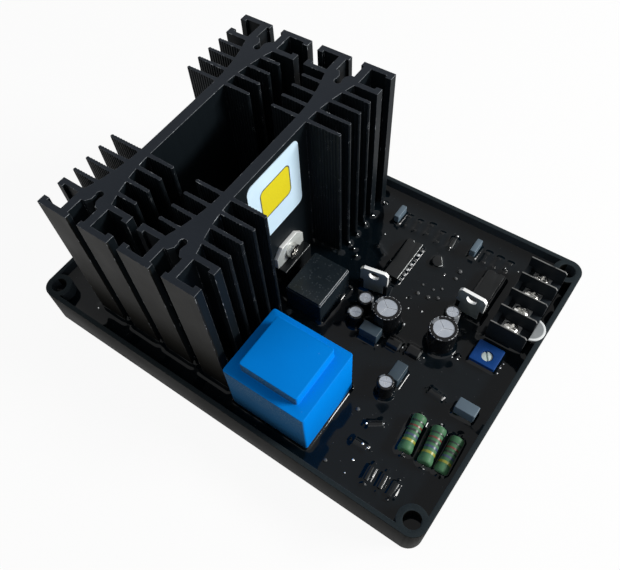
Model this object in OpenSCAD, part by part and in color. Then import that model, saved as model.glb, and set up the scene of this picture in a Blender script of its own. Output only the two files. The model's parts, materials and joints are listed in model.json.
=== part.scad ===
// Potted voltage regulator module: a tray with a filled circuit board, two heatsinks and a terminal block
// Millimetres. X runs along the tray, Y across it, Z up from the middle of the tray's base.

/* [Tray] */
// Length along X
tray_l = 160; // [150:1:190]
// Width along Y
tray_w = 115; // [110:1:140]
// Height of the rim
tray_h = 16.5; // [15.5:0.5:20]
// Thickness of the side walls
tray_wall = 1.7; // [1.2:0.1:2.4]
// Thickness of the floor
tray_floor = 2.2; // [1.5:0.1:3.5]
// Distance of each mounting hole from both edges
hole_inset = 5; // [4.6:0.1:7]
// Radius of the mounting holes
hole_r = 2.8; // [2:0.1:3.2]
// Wall of the bosses round the mounting holes
boss_wall = 2.1; // [1.2:0.1:2.2]
// Radius of the posts under the circuit board
post_r = 3; // [2:0.1:5]

/* [Circuit board and potting] */
// Height of the board's upper face over the tray's base
board_z = 8; // [7:0.1:9]
// Thickness of the board
board_t = 1.6; // [1:0.1:2.4]
// Gap between the board and the tray
board_gap = 0.8; // [0.4:0.1:2]
// Depth of the potting surface below the rim
pot_drop = 4.5; // [3:0.1:6]
// Gap between the potting and the parts that stand in it
pot_fit = 0.1; // [0.05:0.05:0.3]

/* [Heatsinks] */
// Height of the extrusions
sink_h = 61; // [45:0.5:90]
// Gap between the tray's inner wall and the heatsinks' end plates, on average
sink_end_gap = 6.2; // [3:0.1:10]
// Distance of the heatsinks from the middle of the tray's width
sink_y = 1; // [-2:0.1:2]
// Radius of the screw channels
channel_r = 1.25; // [1:0.05:1.6]
// Half width of the plates, hooked fins and long fins
sink_reach = 14.05; // [13:0.05:15]
// Length of the fins on the side facing the other heatsink
fin_short = 11.6; // [9:0.1:13]
// Gap between the plates of the two heatsinks
sink_gap = 4; // [1:0.1:6]
// Thickness of the web in the middle
web_t = 3.65; // [2.5:0.05:5]
// Half width of the web where it meets the hooked fins
web_root = 5.6; // [4:0.1:6.5]
// Plain fins on each side of each end
fin_count = 4; // [2:1:5]
// Distance between plain fins
fin_pitch = 5.4; // [4:0.1:6]
// Distance of the first plain fin from the screw channel
fin_first = 3.2; // [2.5:0.1:4]
// Thickness of a plain fin at its root
fin_root_t = 1.6; // [1.2:0.1:2.2]
// Thickness of a plain fin at its tip
fin_tip_t = 1.2; // [0.9:0.1:1.6]
// Distance between the fine grooves along a fin
groove_pitch = 1.1; // [0.8:0.1:2]
// Depth of the fine grooves
groove_d = 0.17; // [0.05:0.01:0.3]
// Thickness of the hooked fins
hook_t = 1.8; // [1.2:0.1:2.5]
// Thickness of the end plates
plate_t = 1.95; // [1.2:0.05:3]
// Opening between a hooked fin's lip and the plate's lip
slot_mouth = 5.15; // [4:0.05:6]
// Width of the lips
lip_w = 2.05; // [1.2:0.05:3]
// Height of the lips
lip_h = 1.05; // [0.5:0.05:1.5]
// Thickness of the two arms that carry the plates
arm_t = 2.75; // [1.5:0.05:3]
// Width of the channel between the arms
arm_gap = 6.7; // [5:0.1:7.5]
// Opening of that channel between the plates
plate_mouth = 4.7; // [3:0.1:6]
// Opening of the screw channel into it
channel_mouth = 1.9; // [1:0.1:2.2]
// Radius of the self-tapping screws' heads
tap_head_r = 2.8; // [2:0.1:3.5]
// Height of their heads
tap_head_h = 1.9; // [1:0.1:2.4]
// Length of their shanks in the heatsink
tap_depth = 9; // [5:0.5:15]

/* [Power devices] */
// Width of the package
power_w = 15.2; // [14:0.1:16]
// Height of the moulded body
power_body_h = 12; // [10:0.1:13]
// Height of the whole package without leads
power_h = 20; // [18:0.1:22]
// Thickness of the moulded body
power_t = 4.8; // [4:0.1:5.5]
// Thickness of the metal tab
power_tab_t = 1.6; // [1:0.1:2]
// Cut at the tab's upper corners
power_cut = 3.4; // [1:0.1:4.5]
// Distance of the screw from the tab's upper edge
power_screw_drop = 4.8; // [4.5:0.1:5]
// Radius of the fixing screw
power_screw_r = 1.5; // [1.2:0.1:1.7]
// Radius of the fixing screw's head
power_head_r = 2.8; // [2.2:0.1:3]
// Height of the fixing screw's head
power_head_h = 2; // [1:0.1:2.5]
// Height of the package over the board
power_stand = 1; // [0.5:0.1:3]

/* [Label] */
// Gap between the plain label and the nearest fins
label_gap = 4.8; // [1:0.1:10]
// Height of the plain label
label_h = 27.5; // [15:0.5:30]
// Corner radius of the label
label_r = 2.5; // [1:0.1:4]
// Thickness of the label
label_t = 0.2; // [0.1:0.05:0.4]
// Distance of the label from the heatsink's upper end
label_drop = 2.4; // [1:0.1:8]

/* [Transformer and relay] */
// Length of the transformer case along X
trafo_l = 30; // [26:0.1:31]
// Width of the transformer case along Y
trafo_w = 26.7; // [22:0.1:27.5]
// Height of the transformer case without its raised top
trafo_h = 27.5; // [20:0.1:34]
// Corner radius of the transformer case
trafo_r = 1; // [0.5:0.1:2]
// Height of the raised top
trafo_cap_h = 4; // [1:0.1:6]
// Step between the case's ends and the raised top
trafo_step = 4.4; // [2:0.1:6]
// Step between the case's long sides and the raised top
trafo_side_step = 3.4; // [2:0.1:6]
// Length of the relay along X
relay_l = 14.6; // [12:0.1:15]
// Width of the relay along Y
relay_w = 18.2; // [15:0.1:20]
// Height of the relay
relay_h = 15.6; // [12:0.1:20]
// Corner radius of the relay
relay_r = 0.6; // [0.3:0.1:1.5]

/* [Three-lead regulators] */
// Width of the package
reg_w = 10.1; // [9.5:0.1:10.6]
// Height of the package without leads
reg_h = 15.8; // [15:0.1:17]
// Height of the moulded body
reg_body_h = 9.2; // [8.5:0.1:9.6]
// Thickness of the moulded body
reg_t = 4.4; // [4:0.1:4.6]
// Thickness of the metal tab
reg_tab_t = 1.3; // [1:0.1:1.5]
// Cut at the tab's upper corners
reg_cut = 1.1; // [0.5:0.1:2]
// Radius of the hole in the tab
reg_hole_r = 1.85; // [1.5:0.05:2]
// Distance of the hole from the upper edge
reg_hole_drop = 2.9; // [2.5:0.1:3.3]
// Height of the package over the board
reg_stand = 1.4; // [0.5:0.1:4]
// Distance between the leads
lead_pitch = 2.54; // [2:0.01:2.6]

/* [Capacitors] */
// Radius of the large electrolytic capacitors
large_r = 4.9; // [4:0.05:5]
// Height of the large electrolytic capacitors
large_h = 14.7; // [12:0.1:20]
// Radius of the small electrolytic capacitors
small_r = 2.85; // [2:0.05:2.95]
// Height of the first two small electrolytic capacitors
small_h = 11.2; // [9:0.1:13]
// Height of the other two small electrolytic capacitors
tall_small_h = 13; // [10:0.1:15]
// Thickness of the sleeves
sleeve_t = 0.25; // [0.15:0.01:0.4]
// Width of the small sleeves' rolled edge on the top
sleeve_lip = 0.75; // [0.4:0.05:1]
// Width of the large sleeves' rolled edge on the top
large_lip = 1.4; // [0.6:0.05:2]
// Depth of the relief grooves in the can's top
score_d = 0.2; // [0.1:0.05:0.4]
// Width of the relief grooves
score_w = 0.35; // [0.2:0.05:0.6]
// Length of the thin film capacitors
film_thin_l = 6.3; // [5:0.1:7.5]
// Thickness of the thin film capacitors
film_thin_w = 2.2; // [1.8:0.1:2.6]
// Height of the thin film capacitors
film_thin_h = 8; // [6:0.1:10]
// Length of the thick film capacitors
film_l = 7; // [6:0.1:7.3]
// Thickness of the thick film capacitors
film_w = 4.1; // [3:0.1:4.5]
// Height of the thick film capacitors
film_h = 9.6; // [7:0.1:12]
// Corner radius of the film capacitors
film_r = 0.4; // [0.2:0.05:0.8]

/* [Power resistors] */
// Length of the body
resistor_l = 13.4; // [11:0.1:15]
// Radius of the body
resistor_r = 2.15; // [1.8:0.05:2.4]
// Radius at the thicker ends
resistor_end_r = 2.4; // [2:0.05:2.6]
// Length of the thicker ends
resistor_end_l = 2.4; // [1.5:0.1:3]
// Height of the two raised resistors' axis over the board
resistor_z = 5.6; // [4.5:0.1:7]
// Height of the low resistor's axis over the board
resistor_low_z = 4; // [3.5:0.1:5]

/* [Trimmer] */
// Length along X
trimmer_l = 9.2; // [8.5:0.1:10]
// Width along Y
trimmer_w = 8.4; // [8:0.1:10]
// Height over the board
trimmer_h = 6.3; // [5.5:0.1:8]
// Gap between the trimmer and the terminal block
trimmer_gap = 3; // [0.5:0.1:4]
// Distance of the trimmer's middle behind the terminal block's middle
trimmer_shift = 2.1; // [0:0.1:3]
// Radius of the rotor
rotor_r = 1.85; // [1.5:0.05:2.5]
// Height of the rotor's head
rotor_h = 1.1; // [0.8:0.1:1.5]
// Radius of the rotor's stem
stem_r = 0.9; // [0.6:0.05:1.2]
// Length of the rotor's stem
stem_l = 2.4; // [1.5:0.1:3.5]
// Running clearance round the rotor
rotor_gap = 0.08; // [0.05:0.01:0.15]
// Width of the screwdriver slot
rotor_slot = 0.6; // [0.4:0.05:0.9]

/* [Terminal block] */
// Number of poles
pole_count = 4; // [2:1:4]
// Distance between poles
pole_pitch = 7.62; // [7:0.01:7.7]
// Depth of the block along X
block_l = 13; // [11:0.1:13.4]
// Height of the block's base over the board
block_base_h = 7; // [5:0.1:9]
// Height of the dividers over the base
divider_h = 7.2; // [5:0.1:9]
// Thickness of the dividers
divider_t = 0.5; // [0.4:0.05:1.4]
// Height of the rear ledge behind the clamping plates
ledge_h = 2.6; // [1:0.1:4]
// Thickness of the rear ledge
ledge_t = 1.6; // [1:0.1:2.5]
// Thickness of the clamping plates
clamp_t = 0.8; // [0.5:0.1:1.2]
// Depth of the clamping plates along X
clamp_l = 6.4; // [5.5:0.1:8]
// Gap between a clamping plate and the dividers
clamp_gap = 0.2; // [0.1:0.05:0.5]
// Radius of the terminal screws' heads
term_head_r = 3; // [2:0.05:3.2]
// Height of the terminal screws' heads
term_head_h = 2; // [1.2:0.1:3]
// Radius of the terminal screws' shanks
term_screw_r = 1.45; // [1:0.05:1.7]
// Length of the terminal screws' shanks under the plates
term_shank = 4; // [2:0.1:5]
// Gap between the block and the tray's wall
block_wall_gap = 2.4; // [1:0.1:5]
// Radius of the half-round tab on the rim
tab_r = 4.6; // [3:0.1:6]
// Thickness of the half-round tab
tab_t = 0.7; // [0.4:0.1:1.2]
// Distance of the half-round tab's middle inside the block's front face
tab_inset = 0.8; // [0:0.1:1.5]

/* [Integrated circuits and small parts] */
// Pins on each side of the first integrated circuit
ic_1_pins_side = 7; // [4:1:7]
// Pins on each side of the second integrated circuit
ic_2_pins_side = 6; // [4:1:6]
// Width of the integrated circuits' bodies
ic_w = 6.3; // [6:0.1:6.6]
// Height of the integrated circuits' bodies
ic_h = 3.3; // [2.8:0.1:3.8]
// Height of the bodies over the board
ic_stand = 3.6; // [1:0.1:5]
// Distance between pins
ic_pitch = 2.54; // [2:0.01:2.6]
// Width of the pins
ic_pin_w = 1.1; // [0.5:0.05:1.5]
// Thickness of the pins
ic_pin_t = 0.3; // [0.2:0.05:0.5]
// Distance between the two pin rows
ic_row = 7.62; // [7.5:0.01:8.2]
// Radius of the two large diodes
big_diode_r = 2.45; // [2:0.05:2.6]
// Length of the two large diodes
big_diode_l = 5.4; // [4.5:0.1:5.5]
// Straight length of the large diodes' leads before they turn down
big_wire_out = 0.5; // [0.45:0.05:0.6]
// Height of the large diodes' axis over the board
big_diode_z = 4.2; // [3:0.1:5]
// Radius of the small diodes
diode_r = 1.35; // [1:0.05:1.6]
// Length of the small diodes
diode_l = 5.2; // [4:0.1:5.6]
// Height of the small diodes' axis over the board
diode_z = 3.7; // [2:0.1:4.5]
// Radius of the small resistors
ohm_r = 1.2; // [0.9:0.05:1.4]
// Length of the small resistors
ohm_l = 6; // [4:0.1:6.4]
// Height of the small resistors' axis over the board
ohm_z = 3.5; // [2:0.1:4.5]
// Radius of the small transistor
trans_r = 2.4; // [2:0.05:2.6]
// Height of the small transistor over the board
trans_h = 5.4; // [4.8:0.1:8]
// Radius of the round leads
wire_r = 0.35; // [0.25:0.05:0.5]
// Straight length of a lead before it turns down
wire_out = 1.1; // [0.8:0.1:2]

/* [Hidden] */
$fn = 48;
tinned = [0.75, 0.75, 0.73];
moulding = [0.06, 0.06, 0.065];
anodised = [0.06, 0.065, 0.08];
eps = 0.01;
part_gap = 0.3;
mould_gap = 0.02;
// Place on the board, in percent of the way from the middle to the tray's edges
function spot(x, y) = [x / 100 * tray_l / 2, y / 100 * tray_w / 2];

boss_r = hole_r + boss_wall;
hole_x = tray_l / 2 - hole_inset;
hole_y = tray_w / 2 - hole_inset;
in_l = tray_l - 2 * tray_wall;
in_w = tray_w - 2 * tray_wall;
in_r = max(hole_inset - tray_wall, 1);
board_low = board_z - board_t;
pot_z = tray_h - pot_drop;
post_spots = [
    spot(-82.5, -52.2), spot(-82.5, 52.2), spot(5, 0),
    spot(50, -83.5), spot(50, 83.5), spot(87.5, 0)
];

// Heatsink section, measured outward from a screw channel
hook_v = 0.85;
hook_top = hook_v + hook_t;
hook_lip_top = hook_top + lip_h;
plate_lip_v = hook_lip_top + slot_mouth;
plate_v = plate_lip_v + lip_h;
plate_top = plate_v + plate_t;
channel_span = in_w - 2 * sink_end_gap - 2 * plate_top;
channel_block = 4.2;
channel_flare = 2.5;
flare_w = 4.4;
arm_out = arm_gap / 2 + arm_t;
web_flare = fin_first + (fin_count - 1) * fin_pitch + fin_root_t / 2;
web_curve = 1.9;
fin_tip_r = 0.35;
sink_pitch = 2 * sink_reach + sink_gap;
front_sink_x = spot(-14.8, 0)[0];
rear_sink_x = front_sink_x - sink_pitch;
sink_xs = [rear_sink_x, front_sink_x];
sink_top = board_z + sink_h;

label_w = channel_span - 2 * fin_first - 2 * (fin_count - 1) * fin_pitch - fin_root_t - 2 * label_gap;

power_y = spot(0, 5.4)[1];
power_z = board_z + power_stand;
// The fixing screw's head stays clear of the moulded body
power_screw_up = max(power_h - power_screw_drop, power_body_h + power_head_r + part_gap);
power_screw_z = power_z + power_screw_up;
power_grip = 2 * web_t / 3;
power_hole_gap = 0.4;
tongue_side = 1.4;
tongue_low = 2;
lead_w = 0.9;
lead_t = 0.5;
power_lead_pitch = 5.45;
drive_reach = 0.6;
drive_w = 0.7;
drive_d = 0.8;

trafo_at = spot(26.6, -66.3);
relay_at = spot(8, -2.8);
relay_rim = 0.7;
relay_rim_h = 0.8;
reg_1_at = spot(27.2, 19);
reg_1_turn = 190;
reg_2_at = spot(67.8, 35.5);
reg_2_turn = 178;
large_spots = [spot(40.6, 3.3), spot(64.9, 9.2)];
large_cuts = 3;
small_cuts = 4;
score_turn = 20;
small_spots = [
    spot(28.9, 5.7), spot(29.2, -5.9),
    [large_spots[1][0] - small_r / 3, large_spots[1][1] + large_r + small_r + 1.5 * part_gap],
    spot(57.6, -36.3)
];
small_heights = [small_h, small_h, tall_small_h, tall_small_h];
film_thin_spots = [spot(15.2, 78.4), spot(54.4, 80)];
film_spots = [
    [large_spots[0][0] - film_l / 4, large_spots[0][1] - large_r - part_gap - film_w / 2],
    spot(58.2, -24.2), spot(89, -22.1)
];
film_turns = [0, 90, 0];
film_thin_turn = 90;
resistor_spots = [spot(76.4, -49.7), spot(85.2, -49.7), spot(92.5, -48.7)];
resistor_turns = [-83, -83, -87];
resistor_heights = [resistor_z, resistor_z, resistor_low_z];
resistor_edge = 0.7;
resistor_step = 0.4;
trimmer_r = 0.5;
trimmer_recess = 0.4;
rotor_shift = [0.3, -0.5];
rotor_base = board_z + trimmer_h - rotor_h;
rotor_slot_d = 0.6;
rotor_turn = -56;
block_z = board_z + block_base_h;
block_w = pole_count * pole_pitch + divider_t;
block_y = hole_y - boss_r - part_gap - block_w / 2;
block_at = [tray_l / 2 - tray_wall - block_wall_gap - block_l / 2, block_y];
block_x = block_at[0] - block_l / 2;
divider_cut = 0.8;
tab_y = block_y - pole_pitch;
clamp_shift = 0.1;
clamp_x = block_at[0] - clamp_shift;
clamp_w = pole_pitch - divider_t - 2 * clamp_gap;
term_bore = 0.1;
trimmer_at = [block_at[0] - trimmer_shift, block_y - block_w / 2 - trimmer_gap - trimmer_w / 2];
ic_1_at = spot(30.1, 48);
ic_end = 0.9;
ic_2_y = reg_2_at[1] - reg_tab_t / 2 + reg_t + part_gap + ic_length(ic_2_pins_side) / 2;
ic_2_at = [spot(69.1, 0)[0], ic_2_y];
ic_notch_r = 0.8;
ic_notch_d = 0.5;
ic_slope = 0.35;
ic_pin_z = ic_stand + ic_h / 2;
big_diode_spots = [spot(49.2, -6.4), spot(58.2, -4.7)];
body_edge = 0.22;
ohm_waist = ohm_r - 0.22;
ohm_cap = 1.2;
ohm_step = 0.45;
// Row of small resistors behind the second integrated circuit
row_gap = 1;
row_y = ic_2_y + (ic_length(ic_2_pins_side) + ohm_l) / 2 + wire_out + wire_r + row_gap;
// Each small part: position and direction in degrees
diode_places = [
    [spot(75.4, -21.2), -6],
    [spot(62, -55.7), 36],
    [spot(61.7, -70.4), 0],
    [spot(70.8, -81.4), 95],
    [spot(76.8, -81.2), 95],
    [spot(81.8, -81.6), 92],
    [spot(43.8, 77.9), 94]
];
ohm_places = [
    [spot(19.6, 78.3), 95],
    [spot(25.2, 78.1), 95],
    [spot(31, 79.8), 94],
    [spot(37.2, 77.7), 94],
    [[spot(60.4, 0)[0], row_y], 92],
    [[spot(65.8, 0)[0], row_y], 86],
    [[spot(71, 0)[0], row_y], 90],
    [spot(18.2, 48), -30]
];
trans_at = spot(43.8, 59.8);
trans_flat = 0.5;
trans_turn = 35;

// Plane shapes

module rounded_rect(size, r) {
    square([size[0] - 2 * r, size[1]], center = true);
    square([size[0], size[1] - 2 * r], center = true);
    for (x = [-1, 1], y = [-1, 1])
        translate([x * (size[0] / 2 - r), y * (size[1] / 2 - r)]) circle(r);
}

module bar(x0, x1, y0, y1) {
    translate([x0, y0]) square([x1 - x0, y1 - y0]);
}

module at_corners() {
    for (x = [-1, 1], y = [-1, 1]) translate([x * hole_x, y * hole_y]) children();
}

module cavity(gap) {
    difference() {
        rounded_rect([in_l - 2 * gap, in_w - 2 * gap], in_r);
        at_corners() circle(boss_r + gap);
    }
}

// Tray, board and potting

module tray() {
    color([0.05, 0.05, 0.055]) {
        linear_extrude(tray_floor) difference() {
            rounded_rect([tray_l, tray_w], hole_inset);
            at_corners() circle(hole_r);
        }
        translate([0, 0, tray_floor]) linear_extrude(tray_h - tray_floor) difference() {
            rounded_rect([tray_l, tray_w], hole_inset);
            cavity(0);
            at_corners() circle(hole_r);
        }
        for (p = post_spots) translate([p[0], p[1], tray_floor])
            cylinder(h = board_low - tray_floor, r = post_r);
    }
}

module at_tap_screws() {
    for (x = sink_xs, s = [-1, 1]) translate([x, sink_y + s * channel_span / 2]) children();
}

module circuit_board() {
    color([0.1, 0.28, 0.16]) translate([0, 0, board_low]) linear_extrude(board_t) difference() {
        cavity(board_gap);
        at_tap_screws() circle(channel_r);
    }
}

module potting_compound() {
    color([0.03, 0.03, 0.035]) {
        translate([0, 0, tray_floor]) linear_extrude(board_low - tray_floor) difference() {
            cavity(0);
            for (p = post_spots) translate(p) circle(post_r);
            at_tap_screws() circle(tap_head_r + pot_fit);
        }
        translate([0, 0, board_low]) linear_extrude(board_t) difference() {
            cavity(0);
            cavity(board_gap);
        }
        translate([0, 0, board_z]) linear_extrude(pot_z - board_z) difference() {
            cavity(0);
            footprints(pot_fit);
        }
    }
}

// Outlines of all parts that rise through the potting, grown by a gap
module footprints(g) {
    for (s = [0, 1]) translate([sink_xs[s], sink_y]) mirror([1 - s, 0]) sink_outline(0, g);
    for (x = sink_xs) translate([x + web_t / 2, power_y])
        bar(-eps, power_t + g, -power_w / 2 - g, power_w / 2 + g);
    translate(trafo_at) rounded_rect([trafo_l + 2 * g, trafo_w + 2 * g], trafo_r);
    translate(relay_at) rounded_rect([relay_l + 2 * g, relay_w + 2 * g], relay_r);
    for (p = [[reg_1_at, reg_1_turn], [reg_2_at, reg_2_turn]]) translate(p[0]) rotate(p[1])
        bar(-reg_w / 2 - g, reg_w / 2 + g, reg_tab_t / 2 - reg_t - g, reg_tab_t / 2 + g);
    for (p = large_spots) translate(p) circle(large_r + g);
    for (p = small_spots) translate(p) circle(small_r + g);
    for (p = film_thin_spots) translate(p) rotate(film_thin_turn)
        rounded_rect([film_thin_l + 2 * g, film_thin_w + 2 * g], film_r);
    for (i = [0 : len(film_spots) - 1]) translate(film_spots[i]) rotate(film_turns[i])
        rounded_rect([film_l + 2 * g, film_w + 2 * g], film_r);
    for (i = [0 : len(resistor_spots) - 1]) translate(resistor_spots[i]) rotate(resistor_turns[i])
        axial_outline(resistor_l, resistor_end_r, wire_out, g);
    translate(trimmer_at) rounded_rect([trimmer_l + 2 * g, trimmer_w + 2 * g], trimmer_r);
    translate(block_at) square([block_l + 2 * g, block_w + 2 * g], center = true);
    ic_outline(ic_1_at, ic_1_pins_side, g);
    ic_outline(ic_2_at, ic_2_pins_side, g);
    for (p = big_diode_spots) translate(p) axial_outline(big_diode_l, big_diode_r, big_wire_out, g);
    for (p = diode_places) translate(p[0]) rotate(p[1]) axial_outline(diode_l, diode_r, wire_out, g);
    for (p = ohm_places) translate(p[0]) rotate(p[1]) axial_outline(ohm_l, ohm_r, wire_out, g);
    translate(trans_at) circle(trans_r + g);
}

module axial_outline(l, r, out, g) {
    square([l + 2 * g, 2 * (r + g)], center = true);
    square([l + 2 * (out + wire_r + g), 2 * (wire_r + g)], center = true);
}

module ic_outline(at, pins, g) {
    translate(at) square([ic_row + ic_pin_t + 2 * g, ic_length(pins) + 2 * g], center = true);
}

// Heatsinks

function web_half(v) =
    let (s = max((v + web_flare) / (hook_v + web_flare), 0))
    web_t / 2 + (web_root - web_t / 2) * pow(s, web_curve);

function fin_half(u, reach) = (fin_root_t + (fin_tip_t - fin_root_t) * u / reach) / 2;

// Lower edge of a grooved fin from root to tip, as distance from the web's middle and from the fin's middle
function fin_edge(v, reach, depth, g) =
    let (root = web_half(v - fin_root_t / 2) + g)
    let (start = root + groove_pitch / 2)
    let (count = floor((reach - fin_tip_r - start) / groove_pitch))
    let (tip = fin_half(reach, reach))
    concat(
        [[root, fin_half(root, reach) + g]],
        [for (k = [0 : 2 * count - 1])
            let (u = start + k * groove_pitch / 2)
            [u, fin_half(u, reach) + g - (k % 2 == 1 ? depth : 0)]],
        [[reach - fin_tip_r + g, tip + g], [reach + g, tip - fin_tip_r + g]]
    );

function fin_path(v, reach, depth, g) =
    let (low = fin_edge(v, reach, depth, g))
    concat(
        [for (p = low) [p[0], v - p[1]]],
        [for (i = [len(low) - 1 : -1 : 1]) [low[i][0], v + low[i][1]]],
        [[web_half(v + fin_root_t / 2) + g, v + low[0][1]]]
    );

// One side of one end, from the middle of the web round fins, hook, arm and plate to the screw channel
function sink_side(fin_reach, depth, g) = concat(
    [[web_t / 2 + g, -channel_span / 2]],
    [for (i = [fin_count - 1 : -1 : 0]) each fin_path(-fin_first - i * fin_pitch, fin_reach, depth, g)],
    [
        [web_root + g, hook_v - g], [sink_reach + g, hook_v - g],
        [sink_reach + g, hook_lip_top + g], [sink_reach - lip_w - g, hook_lip_top + g],
        [sink_reach - lip_w - g, hook_top + g], [arm_out + g, hook_top + g],
        [arm_out + g, plate_v - g], [sink_reach - lip_w - g, plate_v - g],
        [sink_reach - lip_w - g, plate_lip_v - g], [sink_reach + g, plate_lip_v - g],
        [sink_reach + g, plate_top + g], [plate_mouth / 2 - g, plate_top + g],
        [plate_mouth / 2 - g, plate_v - g], [arm_gap / 2 - g, plate_v - g],
        [arm_gap / 2 - g, channel_block + g]
    ]
);

function turned(path) = [for (i = [len(path) - 1 : -1 : 0]) path[i]];

// The same side of the other end, without the point that both ends share
function flipped(path) = [for (i = [1 : len(path) - 1]) [path[i][0], -path[i][1]]];

// Whole section with its short fins toward -X, grown by a gap
module sink_outline(depth, g) {
    long = [for (p = sink_side(sink_reach, depth, g)) [p[0], p[1] + channel_span / 2]];
    short = [for (p = sink_side(fin_short, depth, g)) [-p[0], p[1] + channel_span / 2]];
    polygon(concat(long, turned(short), flipped(short), turned(flipped(long))));
}

module screw_channel() {
    circle(channel_r);
    polygon([
        [-channel_mouth / 2, 0], [channel_mouth / 2, 0], [channel_mouth / 2, channel_flare],
        [flare_w / 2, channel_block + eps], [-flare_w / 2, channel_block + eps],
        [-channel_mouth / 2, channel_flare]
    ]);
}

// Extrusion with its short fins toward -X
module heatsink() {
    difference() {
        linear_extrude(sink_h) difference() {
            sink_outline(groove_d, 0);
            for (s = [0, 1]) mirror([0, s]) translate([0, channel_span / 2]) screw_channel();
        }
        translate([-web_t, power_y - sink_y, power_screw_z - board_z]) rotate([0, 90, 0])
            cylinder(h = 2 * web_t, r = power_screw_r);
    }
}

module rear_heatsink() {
    color(anodised) translate([rear_sink_x, sink_y, board_z]) mirror([1, 0, 0]) heatsink();
}

module front_heatsink() {
    color(anodised) translate([front_sink_x, sink_y, board_z]) heatsink();
}

module heatsink_screws() {
    color([0.6, 0.6, 0.62]) at_tap_screws() difference() {
        union() {
            translate([0, 0, board_low - tap_head_h]) cylinder(h = tap_head_h, r = tap_head_r);
            translate([0, 0, board_low - eps]) cylinder(h = board_t + tap_depth, r = channel_r - 2 * eps);
        }
        drive_cross(board_low - tap_head_h - eps, tap_head_r);
    }
}

module drive_cross(z, r) {
    for (turn = [0, 90]) rotate(turn)
        translate([-r * drive_reach, -drive_w / 2, z]) cube([2 * r * drive_reach, drive_w, drive_d + eps]);
}

// Power devices on the web faces that look toward +X

module on_web(x) {
    translate([x + web_t / 2, power_y, power_z]) rotate([90, 0, 90]) children();
}

// Part of a tab that lies in the back of its moulded body, grown by a gap
module tongue(w, t, h, g) {
    translate([0, 0, -g]) linear_extrude(t + 2 * g)
        bar(tongue_side - w / 2 - g, w / 2 - tongue_side + g, tongue_low - g, h);
}

module power_tab(x) {
    color([0.72, 0.72, 0.7]) on_web(x) difference() {
        union() {
            linear_extrude(power_tab_t) polygon([
                [-power_w / 2, power_body_h], [power_w / 2, power_body_h],
                [power_w / 2, power_h - power_cut], [power_w / 2 - power_cut, power_h],
                [-power_w / 2 + power_cut, power_h], [-power_w / 2, power_h - power_cut]
            ]);
            tongue(power_w, power_tab_t, power_body_h + eps, 0);
        }
        translate([0, power_screw_up, -1])
            cylinder(h = power_tab_t + 2, r = power_screw_r + power_hole_gap);
    }
}

module power_body(x) {
    color(moulding) on_web(x) difference() {
        linear_extrude(power_t) bar(-power_w / 2, power_w / 2, 0, power_body_h);
        tongue(power_w, power_tab_t, power_body_h + 1, mould_gap);
    }
}

module power_leads(x) {
    color(tinned) on_web(x) for (i = [-1 : 1])
        translate([i * power_lead_pitch - lead_w / 2, -power_stand, power_t / 2])
            cube([lead_w, power_stand, lead_t]);
}

module power_screw(x) {
    color([0.65, 0.65, 0.66]) on_web(x) translate([0, power_screw_up, 0]) difference() {
        union() {
            translate([0, 0, power_tab_t]) cylinder(h = power_head_h, r = power_head_r);
            translate([0, 0, -power_grip])
                cylinder(h = power_grip + power_tab_t + eps, r = power_screw_r - 2 * eps);
        }
        drive_cross(power_tab_t + power_head_h - drive_d, power_head_r);
    }
}

module plain_label() {
    color([0.93, 0.92, 0.88])
        translate([front_sink_x + web_t / 2, sink_y, sink_top - label_drop - label_h / 2])
            rotate([90, 0, 90]) linear_extrude(label_t) rounded_rect([label_w, label_h], label_r);
}

// Transformer and relay

module transformer_case() {
    color([0.02, 0.32, 0.68]) translate([trafo_at[0], trafo_at[1], board_z]) {
        linear_extrude(trafo_h) rounded_rect([trafo_l, trafo_w], trafo_r);
        translate([0, 0, trafo_h]) linear_extrude(trafo_cap_h)
            rounded_rect([trafo_l - 2 * trafo_step, trafo_w - 2 * trafo_side_step], trafo_r);
    }
}

module relay_case() {
    color([0.07, 0.07, 0.075]) translate([relay_at[0], relay_at[1], board_z]) {
        linear_extrude(relay_h - relay_rim_h) rounded_rect([relay_l, relay_w], relay_r);
        translate([0, 0, relay_h - relay_rim_h]) linear_extrude(relay_rim_h)
            rounded_rect([relay_l - relay_rim, relay_w - relay_rim], relay_r);
    }
}

// Three-lead regulators: the tab stands at the -Y side, the body at the +Y side

module at_regulator(at, turn) {
    translate([at[0], at[1], board_z + reg_stand]) rotate(turn) rotate([90, 0, 0])
        translate([0, 0, -reg_tab_t / 2]) children();
}

module regulator_tab(at, turn) {
    color([0.68, 0.7, 0.72]) at_regulator(at, turn) difference() {
        union() {
            linear_extrude(reg_tab_t) polygon([
                [-reg_w / 2, reg_body_h], [reg_w / 2, reg_body_h],
                [reg_w / 2, reg_h - reg_cut], [reg_w / 2 - reg_cut, reg_h],
                [-reg_w / 2 + reg_cut, reg_h], [-reg_w / 2, reg_h - reg_cut]
            ]);
            tongue(reg_w, reg_tab_t, reg_body_h + eps, 0);
        }
        translate([0, reg_h - reg_hole_drop, -1]) cylinder(h = reg_tab_t + 2, r = reg_hole_r);
    }
}

module regulator_body(at, turn) {
    color(moulding) at_regulator(at, turn) difference() {
        linear_extrude(reg_t) bar(-reg_w / 2, reg_w / 2, 0, reg_body_h);
        tongue(reg_w, reg_tab_t, reg_body_h + 1, mould_gap);
    }
}

module regulator_leads(at, turn) {
    color(tinned) at_regulator(at, turn) for (i = [-1 : 1])
        translate([i * lead_pitch - lead_w / 2, -reg_stand, reg_t / 2]) cube([lead_w, reg_stand, lead_t]);
}

// Capacitors

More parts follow.
